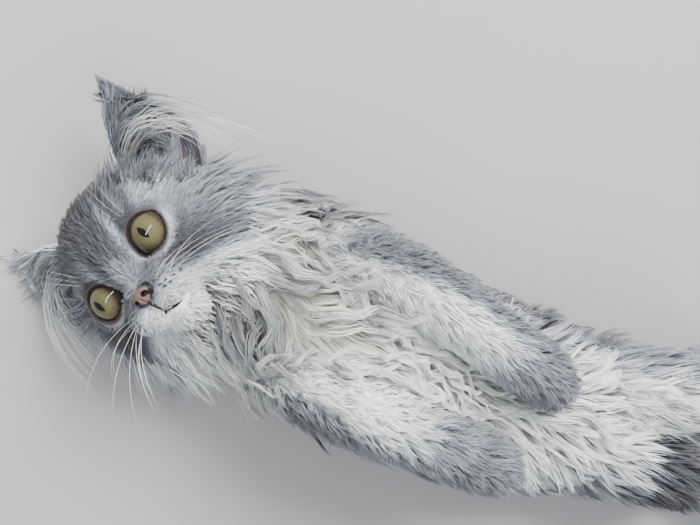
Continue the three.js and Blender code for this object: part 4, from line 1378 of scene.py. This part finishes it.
class Finish:  # a material with one Principled shader
    def __init__(self, name, roughness=0.6, fixed=None):
        self.material = bpy.data.materials.new(name)
        self.material.use_nodes = True
        self.tree = self.material.node_tree
        self.shader = self.tree.nodes["Principled BSDF"]
        self.shader.inputs["Roughness"].default_value = roughness
        for key, value in (fixed or {}).items():
            self.shader.inputs[key].default_value = value

    def node(self, kind, settings=None, inputs=None, output=0):
        return makeNode(self.tree, kind, settings, inputs, output)

    def place(self):
        return self.node("ShaderNodeTexCoord", output="Object")

    def noise(self, scale, detail=2.0, vector=None):
        return self.node("ShaderNodeTexNoise", None, {
            "Vector": vector or self.place(), "Scale": scale, "Detail": detail}, "Fac")

    def mix(self, factor, a, b, blend="MIX"):
        return self.node("ShaderNodeMix", {"data_type": "RGBA", "blend_type": blend, "clamp_factor": True}, {
            0: factor, 6: a, 7: b}, 2)

    def ramp(self, value, stops):
        return self.node("ShaderNodeValToRGB", {"stops": stops}, {0: value}, "Color")

    def read(self, name, output="Color"):
        return self.node("ShaderNodeAttribute", {"attribute_name": name}, None, output)

    def parts(self, colour):
        split = self.tree.nodes.new("ShaderNodeSeparateColor")
        self.tree.links.new(colour.output, split.inputs[0])
        return [Socket(self.tree, split.outputs[i]) for i in range(3)]

    def feed(self, name, value):
        self.tree.links.new(value.output, self.shader.inputs[name])

    def bump(self, height, strength, distance):
        self.feed("Normal", self.node("ShaderNodeBump", None, {
            "Height": height, "Strength": strength, "Distance": distance}, "Normal"))


# The coat runs from white through silver to nearly black, by its tone
silverStops = [
    (0.0, (0.91, 0.95, 0.96)), (0.25, (0.278, 0.304, 0.35)), (0.5, (0.076, 0.081, 0.101)),
    (0.75, (0.027, 0.029, 0.035)), (1.0, (0.009, 0.009, 0.011)),
]
creamTint = (0.95, 0.89, 0.70, 1)


def coatColour(finish, onTufts=True):
    toneIn, creamIn, alongIn = finish.parts(finish.read("furMark"))
    change = (finish.noise(70, 3.0) - 0.5) * 0.3
    if onTufts:
        change = change + (finish.read("furMark", "Alpha") - 0.5) * 0.24 + (streaks(finish) - 0.5) * 0.66
    shade = toneIn + change * (toneIn + 0.16)
    colour = finish.ramp(shade, silverStops)
    if onTufts:
        # the cream tint is the coat's own; its deepening towards the roots is painted warm shade in the folds of
        # the coat
        creamIn = creamIn * (1.15 - alongIn)
    colour = finish.mix(creamIn, colour, creamTint, "MULTIPLY")
    if onTufts:
        # painted shade: each tuft darkens towards its root, deep in the coat, by as much as furWeave's alpha
        # says
        depth = finish.ramp(alongIn, [(0.0, (0.16, 0.16, 0.16)), (0.4, (0.7, 0.7, 0.7)), (0.75, (1, 1, 1))])
        colour = finish.mix(finish.read("furWeave", "Alpha"), colour, depth, "MULTIPLY")
    return colour


def streaks(finish):  # the single hairs that a tuft is made of
    acrossIn, alongIn, strandIn = finish.parts(finish.read("furWeave"))
    lines = finish.node("ShaderNodeCombineXYZ", None, {
        0: acrossIn * 5 + strandIn * 90, 1: alongIn * 1.2, 2: strandIn * 37})
    return finish.noise(1.6, 2.0, lines)


furFinish = Finish("silverCoat", 0.62, {"Sheen Weight": 0.2, "Sheen Roughness": 0.4, "Specular IOR Level": 0.3})
furFinish.feed("Base Color", coatColour(furFinish))
furFinish.bump(streaks(furFinish), 0.9, 0.0006)

skinFinish = Finish("shortCoat", 0.75, {"Specular IOR Level": 0.2})
skinColour = coatColour(skinFinish, False)
skinColour = skinFinish.mix(1.0, skinColour, (0.85, 0.84, 0.83, 1), "MULTIPLY")
skinFinish.feed("Base Color", skinFinish.mix(skinFinish.parts(skinFinish.read("skinMark"))[0], skinColour,
                                             (0.045, 0.035, 0.035, 1)))
skinFinish.bump(skinFinish.noise(900, 3.0), 0.5, 0.0006)

earFinish = Finish("earSkin", 0.6, {"Specular IOR Level": 0.3})
inner = earFinish.read("earMark", "Alpha")
earNoise = earFinish.noise(220, 3.0)
pink = earFinish.mix(earNoise, (0.19, 0.162, 0.175, 1), (0.3, 0.25, 0.265, 1))
earFinish.feed("Base Color", earFinish.mix(inner, (0.07, 0.07, 0.08, 1), pink))
earFinish.bump(earFinish.noise(700, 3.0), 0.4, 0.0004)

noseFinish = Finish("noseLeather", 0.42, {"Specular IOR Level": 0.45})
holeMask, rimMask = noseFinish.parts(noseFinish.read("noseMark"))[:2]
leather = noseFinish.mix(noseFinish.noise(500, 3.0), (0.08, 0.046, 0.045, 1), (0.13, 0.078, 0.075, 1))
leather = noseFinish.mix(rimMask * 0.55, leather, (0.03, 0.019, 0.019, 1))
# painted shade: the nostrils and slits are painted nearly black in their hollows
noseFinish.feed("Base Color", noseFinish.mix(holeMask, leather, (0.004, 0.003, 0.003, 1)))
pebbles = noseFinish.node("ShaderNodeTexVoronoi", None, {
    "Vector": noseFinish.place(), "Scale": 1900}, "Distance")
noseFinish.bump(pebbles, 0.35, 0.0003)

rimFinish = Finish("lidRim", 0.5, {"Specular IOR Level": 0.2})
rimFinish.feed("Base Color", rimFinish.mix(
    rimFinish.noise(400), (0.006, 0.005, 0.005, 1), (0.016, 0.012, 0.012, 1)))

lineFinish = Finish("lidLine", 0.6, {"Specular IOR Level": 0.3})
lineFinish.feed("Base Color", lineFinish.mix(
    lineFinish.noise(500), (0.27, 0.235, 0.215, 1), (0.45, 0.41, 0.38, 1)))
lineFinish.bump(lineFinish.noise(900, 3.0), 0.4, 0.0003)

whiskerFinish = Finish("whiskerHair", 0.35, {"Specular IOR Level": 0.5})
whiskerAlong = whiskerFinish.parts(whiskerFinish.read("furMark"))[2]
whiskerFinish.feed("Base Color", whiskerFinish.ramp(whiskerAlong, [
    (0.0, (0.65, 0.64, 0.62)), (0.4, (0.9, 0.9, 0.88))]))

eyeFinish = Finish("catEye", 0.04, {"Specular IOR Level": 0.38})
eyeX, eyeY = eyeFinish.parts(eyeFinish.read("eyePlace"))[:2]


def irisColour(finish, across, upAxis):
    radius = (across * across + upAxis * upAxis) ** 0.5
    turned = finish.node("ShaderNodeMath", {"operation": "ARCTAN2"}, {0: upAxis, 1: across})
    spokes = finish.node("ShaderNodeCombineXYZ", None, {0: turned * 9, 1: radius * 5, 2: 0.0})
    fibre = finish.noise(1.0, 4.0, spokes)
    colour = finish.ramp(radius + (fibre - 0.5) * 0.12, [
        (0.0, (0.07, 0.07, 0.034)), (0.4, (0.098, 0.094, 0.048)), (0.62, (0.078, 0.062, 0.036)),
        (0.72, (0.03, 0.023, 0.015)),
    ])
    colour = finish.mix(fibre, colour, (0.62, 0.6, 0.5, 1), "MULTIPLY")
    rim = finish.ramp(radius, [(0.745, (0, 0, 0)), (0.775, (1, 1, 1))])
    colour = finish.mix(rim, colour, (0.03, 0.02, 0.018, 1))
    slit = finish.ramp(across.size() * 7.0 + upAxis * upAxis * 9.5, [(0.86, (1, 1, 1)), (0.94, (0, 0, 0))])
    return finish.mix(slit, colour, (0.004, 0.004, 0.005, 1))


eyeFinish.feed("Base Color", irisColour(eyeFinish, eyeX, eyeY))

floorFinish = Finish("paleFloor", 0.9)
floorFinish.feed("Base Color", floorFinish.mix(
    floorFinish.noise(3), (0.235, 0.235, 0.24, 1), (0.26, 0.26, 0.265, 1)))

# Dressing and riding
mark(skin, "furMark", np.stack([tone, cream, 0 * tone + 1, 0.5 + 0 * tone], 1))
mark(skin, "skinMark", np.stack([bare, bare, bare, 1 + 0 * bare], 1))


def dress(piece, finish, slot):
    piece.data.materials.clear()
    piece.data.materials.append(finish.material)
    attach(piece, "root")


whiteCoats = ("throatFur", "chestFurRight", "chestFurLeft", "bellyFur", "whiskers")
dress(skin, skinFinish, "silver_fur")
for name, piece in coats.items():
    finish = whiskerFinish if name == "whiskers" else furFinish
    dress(piece, finish, "white_fur" if name in whiteCoats else "silver_fur")
dress(ears, earFinish, "silver_fur")
dress(nose, noseFinish, "nose_leather")
dress(lidRims, rimFinish, "nose_leather")
dress(lips, rimFinish, "nose_leather")
dress(lidLines, lineFinish, "white_fur")
for name, piece in eyes.items():
    dress(piece, eyeFinish, "eye")
    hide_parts(name)
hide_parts("head", "neck", "chest", "belly", "hips", "foreleg_left", "foreleg_right", "forepaw_left",
            "forepaw_right", "hindleg_left", "hindleg_right", "hindfoot_left", "hindfoot_right", "tail_base",
            "tail_middle", "tail_tip")
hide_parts("ear_left", "ear_right")
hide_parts("nose")

# Floor and light: two soft lamps and a narrow strip, which alone shows in the eyes
deselectAll()
bpy.ops.mesh.primitive_plane_add(size=6, location=(0, 0, 0))
floor = bpy.context.object
floor.name = "floor"
floor.data.materials.append(floorFinish.material)

lamps = {
    "keyLamp": {"place": (-0.1, 1.15, 1.15), "size": (0.9, 0.9), "power": 118, "colour": (1.0, 0.98, 0.95)},
    "fillLamp": {"place": (0.7, -0.9, 1.2), "size": (1.4, 1.4), "power": 29, "colour": (0.93, 0.96, 1.0)},
    "stripLamp": {"place": (-0.68, 0.08, 0.92), "size": (1.1, 0.03), "power": 9, "colour": (1.0, 1.0, 1.0)},
}
stripForm = {"towards": (-0.175, 0, 0.06), "along": (-0.22, -0.97, -0.08)}


def lampTurn(name, place):
    if name != "stripLamp":
        return (Vector((-0.05, 0, 0.04)) - place).to_track_quat("-Z", "Y").to_matrix()
    backward = (place - Vector(stripForm["towards"])).normalized()
    along = Vector(stripForm["along"])
    along = (along - backward * along.dot(backward)).normalized()
    return Matrix((along, backward.cross(along), backward)).transposed()


for name, lamp in lamps.items():
    data = bpy.data.lights.new(name, "AREA")
    data.shape = "RECTANGLE"
    data.size, data.size_y = lamp["size"]
    data.energy = lamp["power"]
    data.color = lamp["colour"]
    light = bpy.data.objects.new(name, data)
    light.visible_glossy = name == "stripLamp"
    place = Vector(lamp["place"])
    light.matrix_world = Matrix.Translation(place) @ lampTurn(name, place).to_4x4()
    bpy.context.scene.collection.objects.link(light)
world = bpy.context.scene.world or bpy.data.worlds.new("studio")
bpy.context.scene.world = world
world.use_nodes = True
sky = world.node_tree.nodes["Background"].inputs
sky["Color"].default_value = (0.86, 0.88, 0.92, 1)
sky["Strength"].default_value = 0.5

triangleCount = sum(len(piece.data.polygons) for piece in coats.values())
print("stage: dressed", triangleCount)
